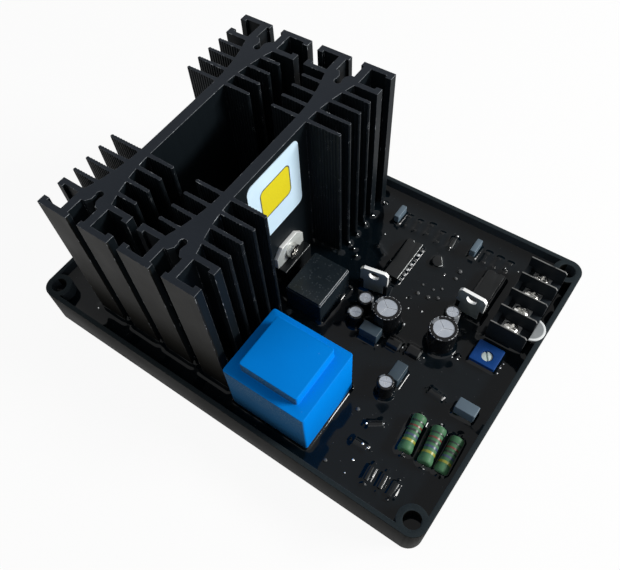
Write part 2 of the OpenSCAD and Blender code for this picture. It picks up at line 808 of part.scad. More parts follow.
module can(at, r, h, cuts, lip) {
    can_r = r - sleeve_t - eps;
    color([0.72, 0.73, 0.74]) translate([at[0], at[1], board_z]) difference() {
        cylinder(h = h - sleeve_t, r = can_r);
        for (i = [0 : cuts - 1]) rotate(i * 360 / cuts + score_turn)
            translate([0, -score_w / 2, h - sleeve_t - score_d])
                cube([can_r - lip, score_w, score_d + 1]);
    }
}

module sleeve(at, r, h, lip) {
    color([0.06, 0.06, 0.07]) translate([at[0], at[1], board_z]) rotate_extrude() polygon([
        [r - sleeve_t, 0], [r, 0], [r, h - sleeve_t], [r - sleeve_t, h],
        [r - lip, h], [r - lip, h - sleeve_t + eps], [r - sleeve_t, h - sleeve_t + eps]
    ]);
}

module large_can(i) {
    can(large_spots[i], large_r, large_h, large_cuts, large_lip);
}

module large_sleeve(i) {
    sleeve(large_spots[i], large_r, large_h, large_lip);
}

module small_can(i) {
    can(small_spots[i], small_r, small_heights[i], small_cuts, sleeve_lip);
}

module small_sleeve(i) {
    sleeve(small_spots[i], small_r, small_heights[i], sleeve_lip);
}

module film_body(at, turn, l, w, h) {
    color([0.55, 0.6, 0.66]) translate([at[0], at[1], board_z]) rotate(turn)
        linear_extrude(h) rounded_rect([l, w], film_r);
}

module thin_film(i) {
    film_body(film_thin_spots[i], film_thin_turn, film_thin_l, film_thin_w, film_thin_h);
}

module thick_film(i) {
    film_body(film_spots[i], film_turns[i], film_l, film_w, film_h);
}

// Axial parts lie along local X at a height over the board

module lying(at, turn, z) {
    translate([at[0], at[1], board_z + z]) rotate(turn) rotate([0, 90, 0]) children();
}

module power_resistor(i) {
    half = resistor_l / 2;
    color([0.35, 0.62, 0.5]) lying(resistor_spots[i], resistor_turns[i], resistor_heights[i]) {
        cylinder(h = resistor_l - 2 * resistor_end_l + 2 * eps, r = resistor_r, center = true);
        for (s = [0, 1]) mirror([0, 0, s]) rotate_extrude() polygon([
            [0, half], [resistor_end_r - resistor_edge, half], [resistor_end_r, half - resistor_edge],
            [resistor_end_r, half - resistor_end_l + resistor_step],
            [resistor_r, half - resistor_end_l], [0, half - resistor_end_l]
        ]);
    }
}

module axial_leads(at, turn, z, l, out) {
    for (s = [0, 1]) translate([at[0], at[1], board_z]) rotate(turn) mirror([s, 0, 0]) {
        translate([l / 2, 0, z]) rotate([0, 90, 0]) cylinder(h = out, r = wire_r);
        translate([l / 2 + out, 0, 0]) cylinder(h = z + wire_r, r = wire_r);
    }
}

module diode_body(l, r) {
    rotate_extrude() polygon([
        [0, -l / 2], [r * (1 - body_edge), -l / 2], [r, -l / 2 + r * body_edge],
        [r, l / 2 - r * body_edge], [r * (1 - body_edge), l / 2], [0, l / 2]
    ]);
}

module diodes() {
    color(moulding) {
        for (p = big_diode_spots) lying(p, 0, big_diode_z) diode_body(big_diode_l, big_diode_r);
        for (p = diode_places) lying(p[0], p[1], diode_z) diode_body(diode_l, diode_r);
    }
}

// Half of a small resistor's profile from its middle to its end
function ohm_profile() = [
    [ohm_waist, ohm_l / 2 - ohm_cap - ohm_step], [ohm_r, ohm_l / 2 - ohm_cap],
    [ohm_r, ohm_l / 2 - ohm_step], [ohm_waist, ohm_l / 2], [0, ohm_l / 2]
];

module small_resistors() {
    color([0.1, 0.1, 0.12]) for (p = ohm_places) lying(p[0], p[1], ohm_z) rotate_extrude()
        polygon(concat(ohm_profile(), turned([for (q = ohm_profile()) [q[0], -q[1]]])));
}

module component_leads() {
    color(tinned) {
        for (i = [0 : len(resistor_spots) - 1])
            axial_leads(resistor_spots[i], resistor_turns[i], resistor_heights[i], resistor_l, wire_out);
        for (p = diode_places) axial_leads(p[0], p[1], diode_z, diode_l, wire_out);
        for (p = big_diode_spots) axial_leads(p, 0, big_diode_z, big_diode_l, big_wire_out);
        for (p = ohm_places) axial_leads(p[0], p[1], ohm_z, ohm_l, wire_out);
    }
}

module small_transistor() {
    color(moulding) translate([trans_at[0], trans_at[1], board_z]) rotate(trans_turn)
        difference() {
            cylinder(h = trans_h, r = trans_r);
            translate([trans_r * trans_flat, -trans_r - 1, -1]) cube([trans_r, 2 * trans_r + 2, trans_h + 2]);
        }
}

// Trimmer

module at_rotor() {
    translate([trimmer_at[0] + rotor_shift[0], trimmer_at[1] + rotor_shift[1], 0]) children();
}

module trimmer_body() {
    color([0.05, 0.25, 0.5]) difference() {
        translate([trimmer_at[0], trimmer_at[1], board_z]) linear_extrude(trimmer_h)
            rounded_rect([trimmer_l, trimmer_w], trimmer_r);
        at_rotor() {
            translate([0, 0, rotor_base - rotor_gap]) cylinder(h = rotor_h + 1, r = rotor_r + rotor_gap);
            translate([0, 0, rotor_base - stem_l - rotor_gap])
                cylinder(h = stem_l + 1, r = stem_r + rotor_gap);
        }
    }
}

module trimmer_rotor() {
    color([0.9, 0.9, 0.88]) at_rotor() difference() {
        union() {
            translate([0, 0, rotor_base]) cylinder(h = rotor_h - trimmer_recess, r = rotor_r);
            translate([0, 0, rotor_base - stem_l]) cylinder(h = stem_l + eps, r = stem_r);
        }
        rotate(rotor_turn)
            translate([-rotor_r - 1, -rotor_slot / 2, rotor_base + rotor_h - trimmer_recess - rotor_slot_d])
                cube([2 * rotor_r + 2, rotor_slot, rotor_slot_d + 1]);
    }
}

// Terminal block: wires enter from +X between the dividers

module at_poles() {
    for (i = [0 : pole_count - 1])
        translate([0, block_y + (i - (pole_count - 1) / 2) * pole_pitch, 0]) children();
}

module terminal_block() {
    color([0.05, 0.05, 0.055]) {
        difference() {
            translate([block_x, block_y - block_w / 2, board_z]) cube([block_l, block_w, block_base_h]);
            at_poles() translate([clamp_x, 0, block_z - term_shank - term_bore])
                cylinder(h = term_shank + 1, r = term_screw_r + term_bore);
        }
        translate([block_x, block_y - block_w / 2, block_z - eps]) cube([ledge_t, block_w, ledge_h]);
        for (i = [0 : pole_count])
            translate([block_x, block_y + (i - pole_count / 2) * pole_pitch, block_z - eps])
                rotate([90, 0, 0]) linear_extrude(divider_t, center = true) polygon([
                    [0, 0], [block_l, 0], [block_l, divider_h - divider_cut],
                    [block_l - divider_cut, divider_h], [0, divider_h]
                ]);
    }
}

module terminal_plates() {
    color([0.7, 0.7, 0.68]) at_poles() translate([clamp_x, 0, block_z]) difference() {
        translate([-clamp_l / 2, -clamp_w / 2, 0]) cube([clamp_l, clamp_w, clamp_t]);
        translate([0, 0, -1]) cylinder(h = clamp_t + 2, r = term_screw_r + term_bore);
    }
}

module terminal_screws() {
    color([0.74, 0.74, 0.74]) at_poles() translate([clamp_x, 0, block_z + clamp_t]) difference() {
        union() {
            cylinder(h = term_head_h, r = term_head_r);
            translate([0, 0, -clamp_t - term_shank])
                cylinder(h = clamp_t + term_shank + eps, r = term_screw_r);
        }
        drive_cross(term_head_h - drive_d, term_head_r);
    }
}

module half_round_tab() {
    color([0.3, 0.31, 0.33]) translate([block_x + block_l - tab_inset, tab_y, tray_h])
        linear_extrude(tab_t) difference() {
            circle(tab_r);
            translate([-2 * tab_r, -tab_r - 1]) square([2 * tab_r + tab_inset + pot_fit, 2 * tab_r + 2]);
        }
}

// Integrated circuits

function ic_length(pins) = (pins - 1) * ic_pitch + 2 * ic_end + ic_pin_w;

module ic_body(at, pins) {
    l = ic_length(pins);
    color(moulding) translate([at[0], at[1], board_z + ic_stand]) difference() {
        translate([0, l / 2, 0]) rotate([90, 0, 0]) linear_extrude(l) polygon([
            [-ic_w / 2 + ic_slope, 0], [ic_w / 2 - ic_slope, 0], [ic_w / 2, ic_h / 2],
            [ic_w / 2 - ic_slope, ic_h], [-ic_w / 2 + ic_slope, ic_h], [-ic_w / 2, ic_h / 2]
        ]);
        translate([0, l / 2, ic_h - ic_notch_d]) cylinder(h = ic_notch_d + 1, r = ic_notch_r);
    }
}

module ic_pins(at, pins) {
    near = (ic_row - ic_pin_t) / 2;
    far = (ic_row + ic_pin_t) / 2;
    low = ic_pin_z - ic_pin_t;
    color(tinned) for (i = [0 : pins - 1], s = [0, 1])
        translate([at[0], at[1] + (i - (pins - 1) / 2) * ic_pitch, board_z]) mirror([s, 0, 0])
            rotate([90, 0, 0]) linear_extrude(ic_pin_w, center = true) polygon([
                [ic_w / 2, ic_pin_z], [ic_w / 2, low], [near, low], [near, 0], [far, 0], [far, ic_pin_z]
            ]);
}

tray();
circuit_board();
potting_compound();
rear_heatsink();
front_heatsink();
heatsink_screws();
power_tab(rear_sink_x);  // rear_power_tab
power_body(rear_sink_x);  // rear_power_body
power_leads(rear_sink_x);  // rear_power_leads
power_screw(rear_sink_x);  // rear_power_screw
power_tab(front_sink_x);  // front_power_tab
power_body(front_sink_x);  // front_power_body
power_leads(front_sink_x);  // front_power_leads
power_screw(front_sink_x);  // front_power_screw
plain_label();
transformer_case();
relay_case();
regulator_tab(reg_1_at, reg_1_turn);  // regulator_1_tab
regulator_body(reg_1_at, reg_1_turn);  // regulator_1_body
regulator_leads(reg_1_at, reg_1_turn);  // regulator_1_leads
regulator_tab(reg_2_at, reg_2_turn);  // regulator_2_tab
regulator_body(reg_2_at, reg_2_turn);  // regulator_2_body
regulator_leads(reg_2_at, reg_2_turn);  // regulator_2_leads
large_can(0);  // large_capacitor_1_can
large_sleeve(0);  // large_capacitor_1_sleeve
large_can(1);  // large_capacitor_2_can
large_sleeve(1);  // large_capacitor_2_sleeve
small_can(0);  // small_capacitor_1_can
small_sleeve(0);  // small_capacitor_1_sleeve
small_can(1);  // small_capacitor_2_can
small_sleeve(1);  // small_capacitor_2_sleeve
small_can(2);  // small_capacitor_3_can
small_sleeve(2);  // small_capacitor_3_sleeve
small_can(3);  // small_capacitor_4_can
small_sleeve(3);  // small_capacitor_4_sleeve
thin_film(0);  // film_capacitor_1
thin_film(1);  // film_capacitor_2
thick_film(0);  // film_capacitor_3
thick_film(1);  // film_capacitor_4
thick_film(2);  // film_capacitor_5
power_resistor(0);  // power_resistor_1
power_resistor(1);  // power_resistor_2
power_resistor(2);  // power_resistor_3
trimmer_body();
trimmer_rotor();
terminal_block();
terminal_plates();
terminal_screws();
half_round_tab();
ic_body(ic_1_at, ic_1_pins_side);  // ic_1_body
ic_pins(ic_1_at, ic_1_pins_side);  // ic_1_pins
ic_body(ic_2_at, ic_2_pins_side);  // ic_2_body
ic_pins(ic_2_at, ic_2_pins_side);  // ic_2_pins
diodes();
small_resistors();
small_transistor();
component_leads();
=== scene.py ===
import json
import math

import bmesh
import bpy
import numpy as np
from mathutils import Matrix, Vector, kdtree, noise
from mathutils.bvhtree import BVHTree
from mathutils.geometry import convex_hull_2d


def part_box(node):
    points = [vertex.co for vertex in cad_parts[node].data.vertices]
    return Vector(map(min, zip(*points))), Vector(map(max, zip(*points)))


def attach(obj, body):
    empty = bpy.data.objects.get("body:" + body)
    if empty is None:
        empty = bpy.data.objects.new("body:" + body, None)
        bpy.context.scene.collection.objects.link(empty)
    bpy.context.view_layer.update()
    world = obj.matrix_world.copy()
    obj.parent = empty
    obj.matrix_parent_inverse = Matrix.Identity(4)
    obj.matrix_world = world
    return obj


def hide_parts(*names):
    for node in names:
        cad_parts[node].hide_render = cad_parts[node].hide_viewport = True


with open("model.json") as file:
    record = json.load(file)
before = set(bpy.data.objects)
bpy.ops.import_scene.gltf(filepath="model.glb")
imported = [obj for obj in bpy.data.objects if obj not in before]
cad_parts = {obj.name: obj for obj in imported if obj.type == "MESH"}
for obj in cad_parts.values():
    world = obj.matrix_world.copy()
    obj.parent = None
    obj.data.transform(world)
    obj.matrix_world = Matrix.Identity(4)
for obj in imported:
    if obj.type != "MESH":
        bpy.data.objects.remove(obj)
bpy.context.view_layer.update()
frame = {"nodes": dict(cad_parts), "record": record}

MM = 0.001
MODULE = "module"
ROTOR = "rotor"
nodes = frame["nodes"]


# Node graphs: one maker of nodes for materials, the world and the piece makers

class Value:
    """An output socket that takes part in sums. Each operation adds one Math node."""

    def __init__(self, graph, socket):
        self.graph = graph
        self.socket = socket

    def math(self, operation, *others):
        inputs = dict(enumerate((self,) + others))
        return self.graph.node("ShaderNodeMath", {"operation": operation}, inputs)

    def _flipped(self, operation, other):
        return self.graph.node("ShaderNodeMath", {"operation": operation}, {0: other, 1: self})

    def __add__(self, other):
        return self.math("ADD", other)

    __radd__ = __add__

    def __sub__(self, other):
        return self.math("SUBTRACT", other)

    def __rsub__(self, other):
        return self._flipped("SUBTRACT", other)

    def __mul__(self, other):
        return self.math("MULTIPLY", other)

    __rmul__ = __mul__

    def __truediv__(self, other):
        return self.math("DIVIDE", other)

    def __rtruediv__(self, other):
        return self._flipped("DIVIDE", other)

    def __abs__(self):
        return self.math("ABSOLUTE")

    def __lt__(self, other):
        return self.math("LESS_THAN", other)

    def __gt__(self, other):
        return self.math("GREATER_THAN", other)

    def most(self, other):
        return self.math("MAXIMUM", other)

    def held(self):
        """The value kept between 0 and 1."""
        return self.graph.node("ShaderNodeClamp", {}, {"Value": self})

    def eased(self, low, high):
        """A smooth step from 0 at low to 1 at high."""
        sockets = {"Value": self, "From Min": low, "From Max": high}
        return self.graph.node("ShaderNodeMapRange", {"interpolation_type": "SMOOTHSTEP"}, sockets)


class Graph:
    """A node tree with one method that makes its nodes."""

    def __init__(self, tree):
        self.tree = tree
        tree.nodes.clear()

    def node(self, kind, settings=None, sockets=None, out=0):
        made = self.tree.nodes.new(kind)
        for key, value in (settings or {}).items():
            setattr(made, key, value)
        for key, value in (sockets or {}).items():
            self.feed(made.inputs[key], value)
        return Value(self, made.outputs[out]) if made.outputs else made

    def feed(self, socket, value):
        if isinstance(value, Value):
            self.tree.links.new(value.socket, socket)
        elif socket.type == "RGBA" and len(value) == 3:
            socket.default_value = (*value, 1.0)
        else:
            socket.default_value = value

    def other(self, value, name):
        """Another output of the node that a value comes from."""
        return Value(self, value.socket.node.outputs[name])

    def seen(self):
        """1 for rays from the camera, off a gloss or through glass."""
        path = self.node("ShaderNodeLightPath", out="Is Camera Ray")
        return path.most(self.other(path, "Is Glossy Ray")).most(self.other(path, "Is Transmission Ray"))


class Finish(Graph):
    """A material in the making, with the patterns that the finishes here share."""

    def __init__(self, name):
        self.material = bpy.data.materials.new(name)
        self.material.use_nodes = True
        super().__init__(self.material.node_tree)
        self.place = self.node("ShaderNodeTexCoord", out="Object")

    def axes(self, vector=None):
        split = self.node("ShaderNodeSeparateXYZ", {}, {0: vector or self.place})
        return split, self.other(split, "Y"), self.other(split, "Z")

    def moved(self, offset=(0, 0, 0), scale=(1, 1, 1), turn=(0, 0, 0)):
        return self.node("ShaderNodeMapping", {}, {"Vector": self.place, "Location": offset,
                                                   "Scale": scale, "Rotation": turn})

    def grain(self, scale, detail, rough=0.5, vector=None):
        return self.node("ShaderNodeTexNoise", {}, {"Vector": vector or self.place, "Scale": scale,
                                                    "Detail": detail, "Roughness": rough})

    def flecks(self, scale):
        """Distance from the nearest of many scattered points."""
        return self.node("ShaderNodeTexVoronoi", {}, {"Vector": self.place, "Scale": scale})

    def mix(self, share, first, second):
        return self.node("ShaderNodeMix", {"data_type": "RGBA"}, {0: share, 6: first, 7: second}, out=2)

    def facing(self, axis):
        """How far a face looks along an axis."""
        normal = self.node("ShaderNodeNewGeometry", out="True Normal")
        return self.axes(normal)["XYZ".index(axis)]

    def rounded(self, radius):
        """Normal that runs smoothly over the edges."""
        return self.node("ShaderNodeBevel", {"samples": 6}, {"Radius": radius})

    def edges(self, radius, low, high):
        """1 on outer and inner edges, 0 on the faces between them."""
        flat = self.node("ShaderNodeNewGeometry", out="True Normal")
        likeness = self.node("ShaderNodeVectorMath", {"operation": "DOT_PRODUCT"},
                             {0: self.rounded(radius), 1: flat}, out="Value")
        return (1.0 - likeness).eased(low, high)

    def lit_edges(self, radius):
        """1 on the upper edges of the faces that look along X."""
        lean, _, rise = self.axes(self.rounded(radius))
        return lean.eased(0.2, 0.5) * rise.eased(0.3, 0.55)

    def bump(self, height, depth, strength, normal=None):
        sockets = {"Height": height, "Distance": depth, "Strength": strength}
        if normal:
            sockets["Normal"] = normal
        return self.node("ShaderNodeBump", {}, sockets)

    def done(self, **sockets):
        """Closes the material with a shader whose sockets are given by their names, _ for a space."""
        named = {key.replace("_", " "): value for key, value in sockets.items()}
        shader = self.node("ShaderNodeBsdfPrincipled", {}, named)
        self.node("ShaderNodeOutputMaterial", {}, {"Surface": shader})
        return self.material


class Maker(Graph):
    """A Geometry Nodes tree with named inputs."""

    def __init__(self, name, **inputs):
        group = bpy.data.node_groups.new(name, "GeometryNodeTree")
        super().__init__(group)
        self.group = group
        group.interface.new_socket("Geometry", in_out="INPUT", socket_type="NodeSocketGeometry")
        self.keys = {}
        for label, kind in inputs.items():
            socket = group.interface.new_socket(label, in_out="INPUT", socket_type="NodeSocket" + kind)
            self.keys[label] = socket.identifier
        group.interface.new_socket("Geometry", in_out="OUTPUT", socket_type="NodeSocketGeometry")
        self.start = self.node("NodeGroupInput")

    def given(self, label):
        return self.other(self.start, label)

    def chance(self, low, high):
        """A number between two limits for each point."""
        sockets = {2: low, 3: high, "Seed": self.given("Seed")}
        return self.node("FunctionNodeRandomValue", {"data_type": "FLOAT"}, sockets, out=1)

    def vector(self, x, y, z):
        return self.node("ShaderNodeCombineXYZ", {}, {"X": x, "Y": y, "Z": z})

    def ends(self, instance, points=None, **sockets):
        """Closes the tree with an instance on each point, or on each vertex of the base mesh."""
        points = points or self.node("GeometryNodeMeshToPoints", {}, {"Mesh": self.start})
        sockets.update(Points=points, Instance=instance)
        instances = self.node("GeometryNodeInstanceOnPoints", {}, sockets)
        whole = self.node("GeometryNodeRealizeInstances", {}, {"Geometry": instances})
        coated = self.node("GeometryNodeSetMaterial", {}, {"Geometry": whole, "Material": self.given("Coat")})
        self.node("NodeGroupOutput", {}, {"Geometry": coated})
        return self

    def made(self, name, base, **values):
        """The tree's result on a base mesh, as a plain mesh in a piece of that name."""
        holder = placed(name + "_base", base)
        maker = holder.modifiers.new("maker", "NODES")
        maker.node_group = self.group
        for label, value in values.items():
            maker[self.keys[label]] = value
        mesh = evaluated_mesh(holder)
        bpy.data.objects.remove(holder)
        return new_piece(name, mesh)


# Pieces

def evaluated_mesh(obj):
    depsgraph = bpy.context.evaluated_depsgraph_get()
    return bpy.data.meshes.new_from_object(obj.evaluated_get(depsgraph), preserve_all_data_layers=True,
                                           depsgraph=depsgraph)


def placed(name, data):
    """An object in the scene, at the origin."""
    made = bpy.data.objects.new(name, data)
    bpy.context.scene.collection.objects.link(made)
    return made


def new_piece(name, mesh):
    mesh.name = name
    return placed(name, mesh)


def mesh_from(name, vertices, faces=()):
    mesh = bpy.data.meshes.new(name)
    mesh.from_pydata([tuple(v) for v in vertices], [], [tuple(f) for f in faces])
    return mesh


def mend(mesh, *steps):
    """Runs steps of editing on a mesh."""
    work = bmesh.new()
    work.from_mesh(mesh)
    for step in steps:
        step(work)
    work.to_mesh(mesh)
    work.free()


def weld(work):
    bmesh.ops.remove_doubles(work, verts=work.verts, dist=0.002 * MM)


def clear_flats(work):
    bmesh.ops.dissolve_limit(work, angle_limit=math.radians(0.6), verts=work.verts, edges=work.edges)


def face_out(work):
    bmesh.ops.recalc_face_normals(work, faces=work.faces)


def set_smooth(mesh, angle):
    mesh.shade_smooth()
    mesh.set_sharp_from_angle(angle=math.radians(angle))


def join(piece, body, slot, coat, *replaced):
    """Gives a piece its material and body, and hides the solids that it stands for. The slot is not used."""
    if coat:
        piece.data.materials.clear()
        piece.data.materials.append(coat)
    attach(piece, body)
    if replaced:
        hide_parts(*replaced)
    return piece


def paint(node, coat):
    """Gives a solid that stays a better material."""
    if not nodes[node].material_slots:
        nodes[node].data.materials.append(coat)
    for held in nodes[node].material_slots:
        held.material = coat


def eased(node, width, slot, coat, body=MODULE):
    """A copy of a solid with its sharp edges rounded, in place of the solid."""
    mesh = nodes[node].data.copy()
    mend(mesh, weld, clear_flats)
    mesh.shade_smooth()
    holder = placed(node + "_base", mesh)
    bevel = holder.modifiers.new("edges", "BEVEL")
    bevel.width = width * MM
    bevel.segments = 3
    bevel.limit_method = "ANGLE"
    bevel.angle_limit = math.radians(32)
    bevel.harden_normals = True
    bevel.use_clamp_overlap = True
    result = evaluated_mesh(holder)
    bpy.data.objects.remove(holder)
    return join(new_piece(node + "_eased", result), body, slot, coat, node)


def turned(profile, segments):
    """Vertices and faces of a profile of (radius, height) turned about Z, closed at both ends."""
    vertices, faces, rings = [], [], []
    for radius, height in profile:
        if radius < 1e-9:
            rings.append([len(vertices)])
            vertices.append((0.0, 0.0, height))
            continue
        rings.append(list(range(len(vertices), len(vertices) + segments)))
        for k in range(segments):
            a = 2 * math.pi * k / segments
            vertices.append((radius * math.cos(a), radius * math.sin(a), height))
    for low, high in zip(rings, rings[1:]):
        for k in range(segments):
            n = (k + 1) % segments
            if len(low) == 1:
                faces.append((low[0], high[n], high[k]))
            elif len(high) == 1:
                faces.append((low[k], low[n], high[0]))
            else:
                faces.append((low[k], low[n], high[n], high[k]))
    return vertices, faces


def arc(centre, radius, start, stop, steps):
    """Points of a profile's rounding, angles in degrees."""
    angles = [math.radians(start + (stop - start) * k / steps) for k in range(steps + 1)]
    return [(centre[0] + radius * math.cos(a), centre[1] + radius * math.sin(a)) for a in angles]


def middle(node):
    low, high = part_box(node)
    return (low + high) / 2, high - low


# Finishes

def plain_finish(name, grain, tones, rough, bumps, lumps=None, **more):
    """A grain gives the tone, the roughness (least, spread) and, unless lumps do, the bumps (mm, strength)."""
    m = Finish(name)
    cloud = m.grain(*grain)
    height = m.grain(*lumps) if lumps else cloud
    return m.done(Base_Color=m.mix(cloud, *tones), Roughness=rough[0] + rough[1] * cloud,
                  Normal=m.bump(height, bumps[0] * MM, bumps[1]), **more)


def tray_finish():
    m = Finish("satin_tray_plastic")
    cloud = m.grain(60, 4)
    leather = m.grain(2600, 2)
    # Edges are painted lighter where a noise allows: partly rubbing wear, partly a painted highlight.
    rub_and_sheen = m.edges(0.5 * MM, 0.02, 0.2) * m.grain(420, 5).eased(0.42, 0.62)
    dust = m.facing("Z").eased(0.6, 0.95) * m.grain(900, 6).eased(0.55, 0.75)
    x, y, _ = m.axes()
    # The walls' inward faces are painted much lighter than the outer walls: painted light.
    inner = (m.facing("X") * x + m.facing("Y") * y) < -30 * MM
    tone = m.mix(cloud, (0.0030, 0.0032, 0.0028), (0.0060, 0.0062, 0.0056))
    tone = m.mix(inner, tone, m.mix(cloud, (0.030, 0.040, 0.049), (0.044, 0.055, 0.066)))
    # Top faces are painted lighter than the walls: a painted sheen, over the moulding's leather grain.
    brim_sheen = m.mix(leather, (0.009, 0.014, 0.017), (0.027, 0.035, 0.040))
    tone = m.mix(m.facing("Z").eased(0.6, 0.95), tone, brim_sheen)
    tone = m.mix(rub_and_sheen * 0.45, tone, (0.045, 0.049, 0.052))
    tone = m.mix(dust * 0.15, tone, (0.05, 0.05, 0.05))
    return m.done(Base_Color=tone, Roughness=0.42 + 0.2 * cloud, Specular_IOR_Level=0.022,
                  Normal=m.bump(leather, 0.03 * MM, 0.5))


def resin_finish(name, gloss):
    m = Finish(name)
    cloud = m.grain(45, 4)
    film = m.grain(160, 5, 0.6)
    haze = film.eased(0.55, 0.78)
    tone = m.mix(cloud, (0.0012, 0.0030, 0.0048), (0.0024, 0.0050, 0.0074))
    tone = m.mix(haze * 0.2, tone, (0.010, 0.013, 0.016))
    ripple = m.grain(170, 2) * 0.9 + m.grain(900, 2) * 0.1
    return m.done(Base_Color=tone, Roughness=0.04 + 0.06 * cloud + 0.10 * haze, Specular_IOR_Level=gloss,
                  Normal=m.bump(ripple, 0.08 * MM, 0.18))


def anodised_finish():
    m = Finish("black_anodised_extrusion")
    streak = m.grain(1, 5, 0.6, m.moved(scale=(1900, 1900, 26)))
    fine = m.grain(1, 3, 0.6, m.moved(scale=(5200, 5200, 60)))
    patch = m.grain(90, 4)
    top = m.facing("Z").eased(0.7, 0.9)
    sawn = m.grain(1, 3, 0.6, m.moved(scale=(420, 5200, 1), turn=(0, 0, 0.35)))
    # Edges are painted lighter and made partly metallic where a noise allows: partly worn bare metal, partly a
    # painted highlight.
    edge = m.edges(0.3 * MM, 0.03, 0.22) * m.grain(700, 4).eased(0.36, 0.58)
    low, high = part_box("front_heatsink")
    _, y, z = m.axes()
    outer = y < low.y + 0.6 * MM
    # Short marks along edges are painted nearly white: partly bare-metal burrs, partly painted highlights.
    burr_glint = m.edges(0.4 * MM, 0.04, 0.2) * m.grain(260, 5, 0.7).eased(0.57, 0.64)
    # Upper edges of the faces that look along X are painted light grey at the top: a painted glint.
    lit_edge_glint = m.lit_edges(0.35 * MM) * (z > high.z - 0.6 * MM) * m.grain(420, 4).eased(0.30, 0.55)
    side = m.mix(streak, (0.0026, 0.0042, 0.0056), (0.0056, 0.0086, 0.0112))
    # The near plates' faces get their own tone: a warm painted reflection that is a little lighter low down,
    # with painted shade darkening them from 26 mm down towards the resin.
    plate = m.mix((z / high.z).eased(0.15, 1.0), (0.010, 0.0095, 0.008), (0.007, 0.0072, 0.0062))
    plate = m.mix(z.eased(9 * MM, 26 * MM), (0.0012, 0.0012, 0.0011), plate)
    side = m.mix(outer, side, plate)
    cut = m.mix(sawn * 0.6 + patch * 0.4, (0.005, 0.008, 0.012), (0.023, 0.028, 0.037))
    tone = m.mix(top, side, cut)
    tone = m.mix(edge * 0.8, tone, (0.100, 0.108, 0.122))
    tone = m.mix(lit_edge_glint * 0.8, tone, (0.24, 0.26, 0.28))
    tone = m.mix(burr_glint * 0.9, tone, (0.56, 0.60, 0.64))
    height = streak * 0.6 + fine * 0.4 + top * (sawn * 1.4)
    return m.done(Base_Color=tone, Roughness=(0.36 + 0.18 * patch + 0.10 * streak).held(),
                  Specular_IOR_Level=0.08, Metallic=edge * 0.3,
                  Normal=m.bump(height, 0.02 * MM, 0.5, m.rounded(0.12 * MM)))


def steel_finish():
    m = Finish("zinc_plated_steel")
    cloud = m.grain(500, 5)
    pit = m.grain(2400, 4, 0.7)
    tone = m.mix(cloud.eased(0.35, 0.65), (0.28, 0.28, 0.27), (0.93, 0.92, 0.89))
    return m.done(Base_Color=tone, Metallic=1.0, Roughness=0.12 + 0.22 * pit,
                  Normal=m.bump(pit, 0.08 * MM, 0.9, m.rounded(0.12 * MM)))


def tab_finish(name, axis, dark, light):
    """Tinned tab with its punched edges painted nearly white as a painted highlight, its flat face looking
    along an axis.
    """
    m = Finish(name)
    brushed = m.grain(1, 4, 0.6, m.moved(scale=(700, 4200, 4200)))
    cloud = m.grain(320, 4)
    punched_edge_glint = abs(m.facing(axis)).eased(0.9, 0.5)
    tone = m.mix(cloud, dark, light)
    tone = m.mix(punched_edge_glint, tone, (0.93, 0.95, 0.95))
    return m.done(Base_Color=tone, Metallic=0.25 - 0.05 * punched_edge_glint, Roughness=0.30 + 0.16 * brushed,
                  Normal=m.bump(brushed, 0.015 * MM, 0.5))


def epoxy_finish(name, glint_share):
    """Black moulding with a painted glint on its upper edges on the X side, at some share."""
    m = Finish(name)
    matt = m.grain(3200, 2)
    cloud = m.grain(300, 4)
    # Edges are painted a little lighter: a painted highlight.
    edge = m.edges(0.22 * MM, 0.04, 0.25) * m.grain(900, 3).eased(0.35, 0.55)
    tone = m.mix(cloud, (0.0036, 0.0046, 0.0054), (0.0090, 0.0104, 0.0114))
    tone = m.mix(edge * 0.5, tone, (0.07, 0.075, 0.08))
    # Upper edges of the faces that look along X are painted nearly white: a painted glint.
    painted_glint = m.lit_edges(0.4 * MM) * m.grain(500, 4).eased(0.30, 0.50) * glint_share
    tone = m.mix(painted_glint, tone, (0.80, 0.84, 0.84))
    return m.done(Base_Color=tone, Roughness=0.10 + 0.10 * cloud, Specular_IOR_Level=0.20,
                  Normal=m.bump(matt, 0.006 * MM, 0.3))


def dipped_finish(name, lit_side_from=None):
    """Leads under a film of resin with bare gaps where a noise allows, and beyond a place along X, where one is
    given, patches of bright bare metal on the lamp's side as a painted highlight.
    """
    m = Finish(name)
    cloud = m.grain(1100, 4)
    gaps = m.grain(700, 3).eased(0.68, 0.74)
    if lit_side_from is not None:
        x, _, _ = m.axes()
        gaps = gaps.most((x > lit_side_from) * cloud.eased(0.40, 0.55))
    film = m.mix(cloud, (0.005, 0.006, 0.007), (0.016, 0.018, 0.020))
    tone = m.mix(gaps, film, (0.75, 0.77, 0.78))
    return m.done(Base_Color=tone, Metallic=gaps, Roughness=0.16 + 0.14 * cloud, Specular_IOR_Level=0.35,
                  Normal=m.bump(cloud, 0.06 * MM, 0.6))


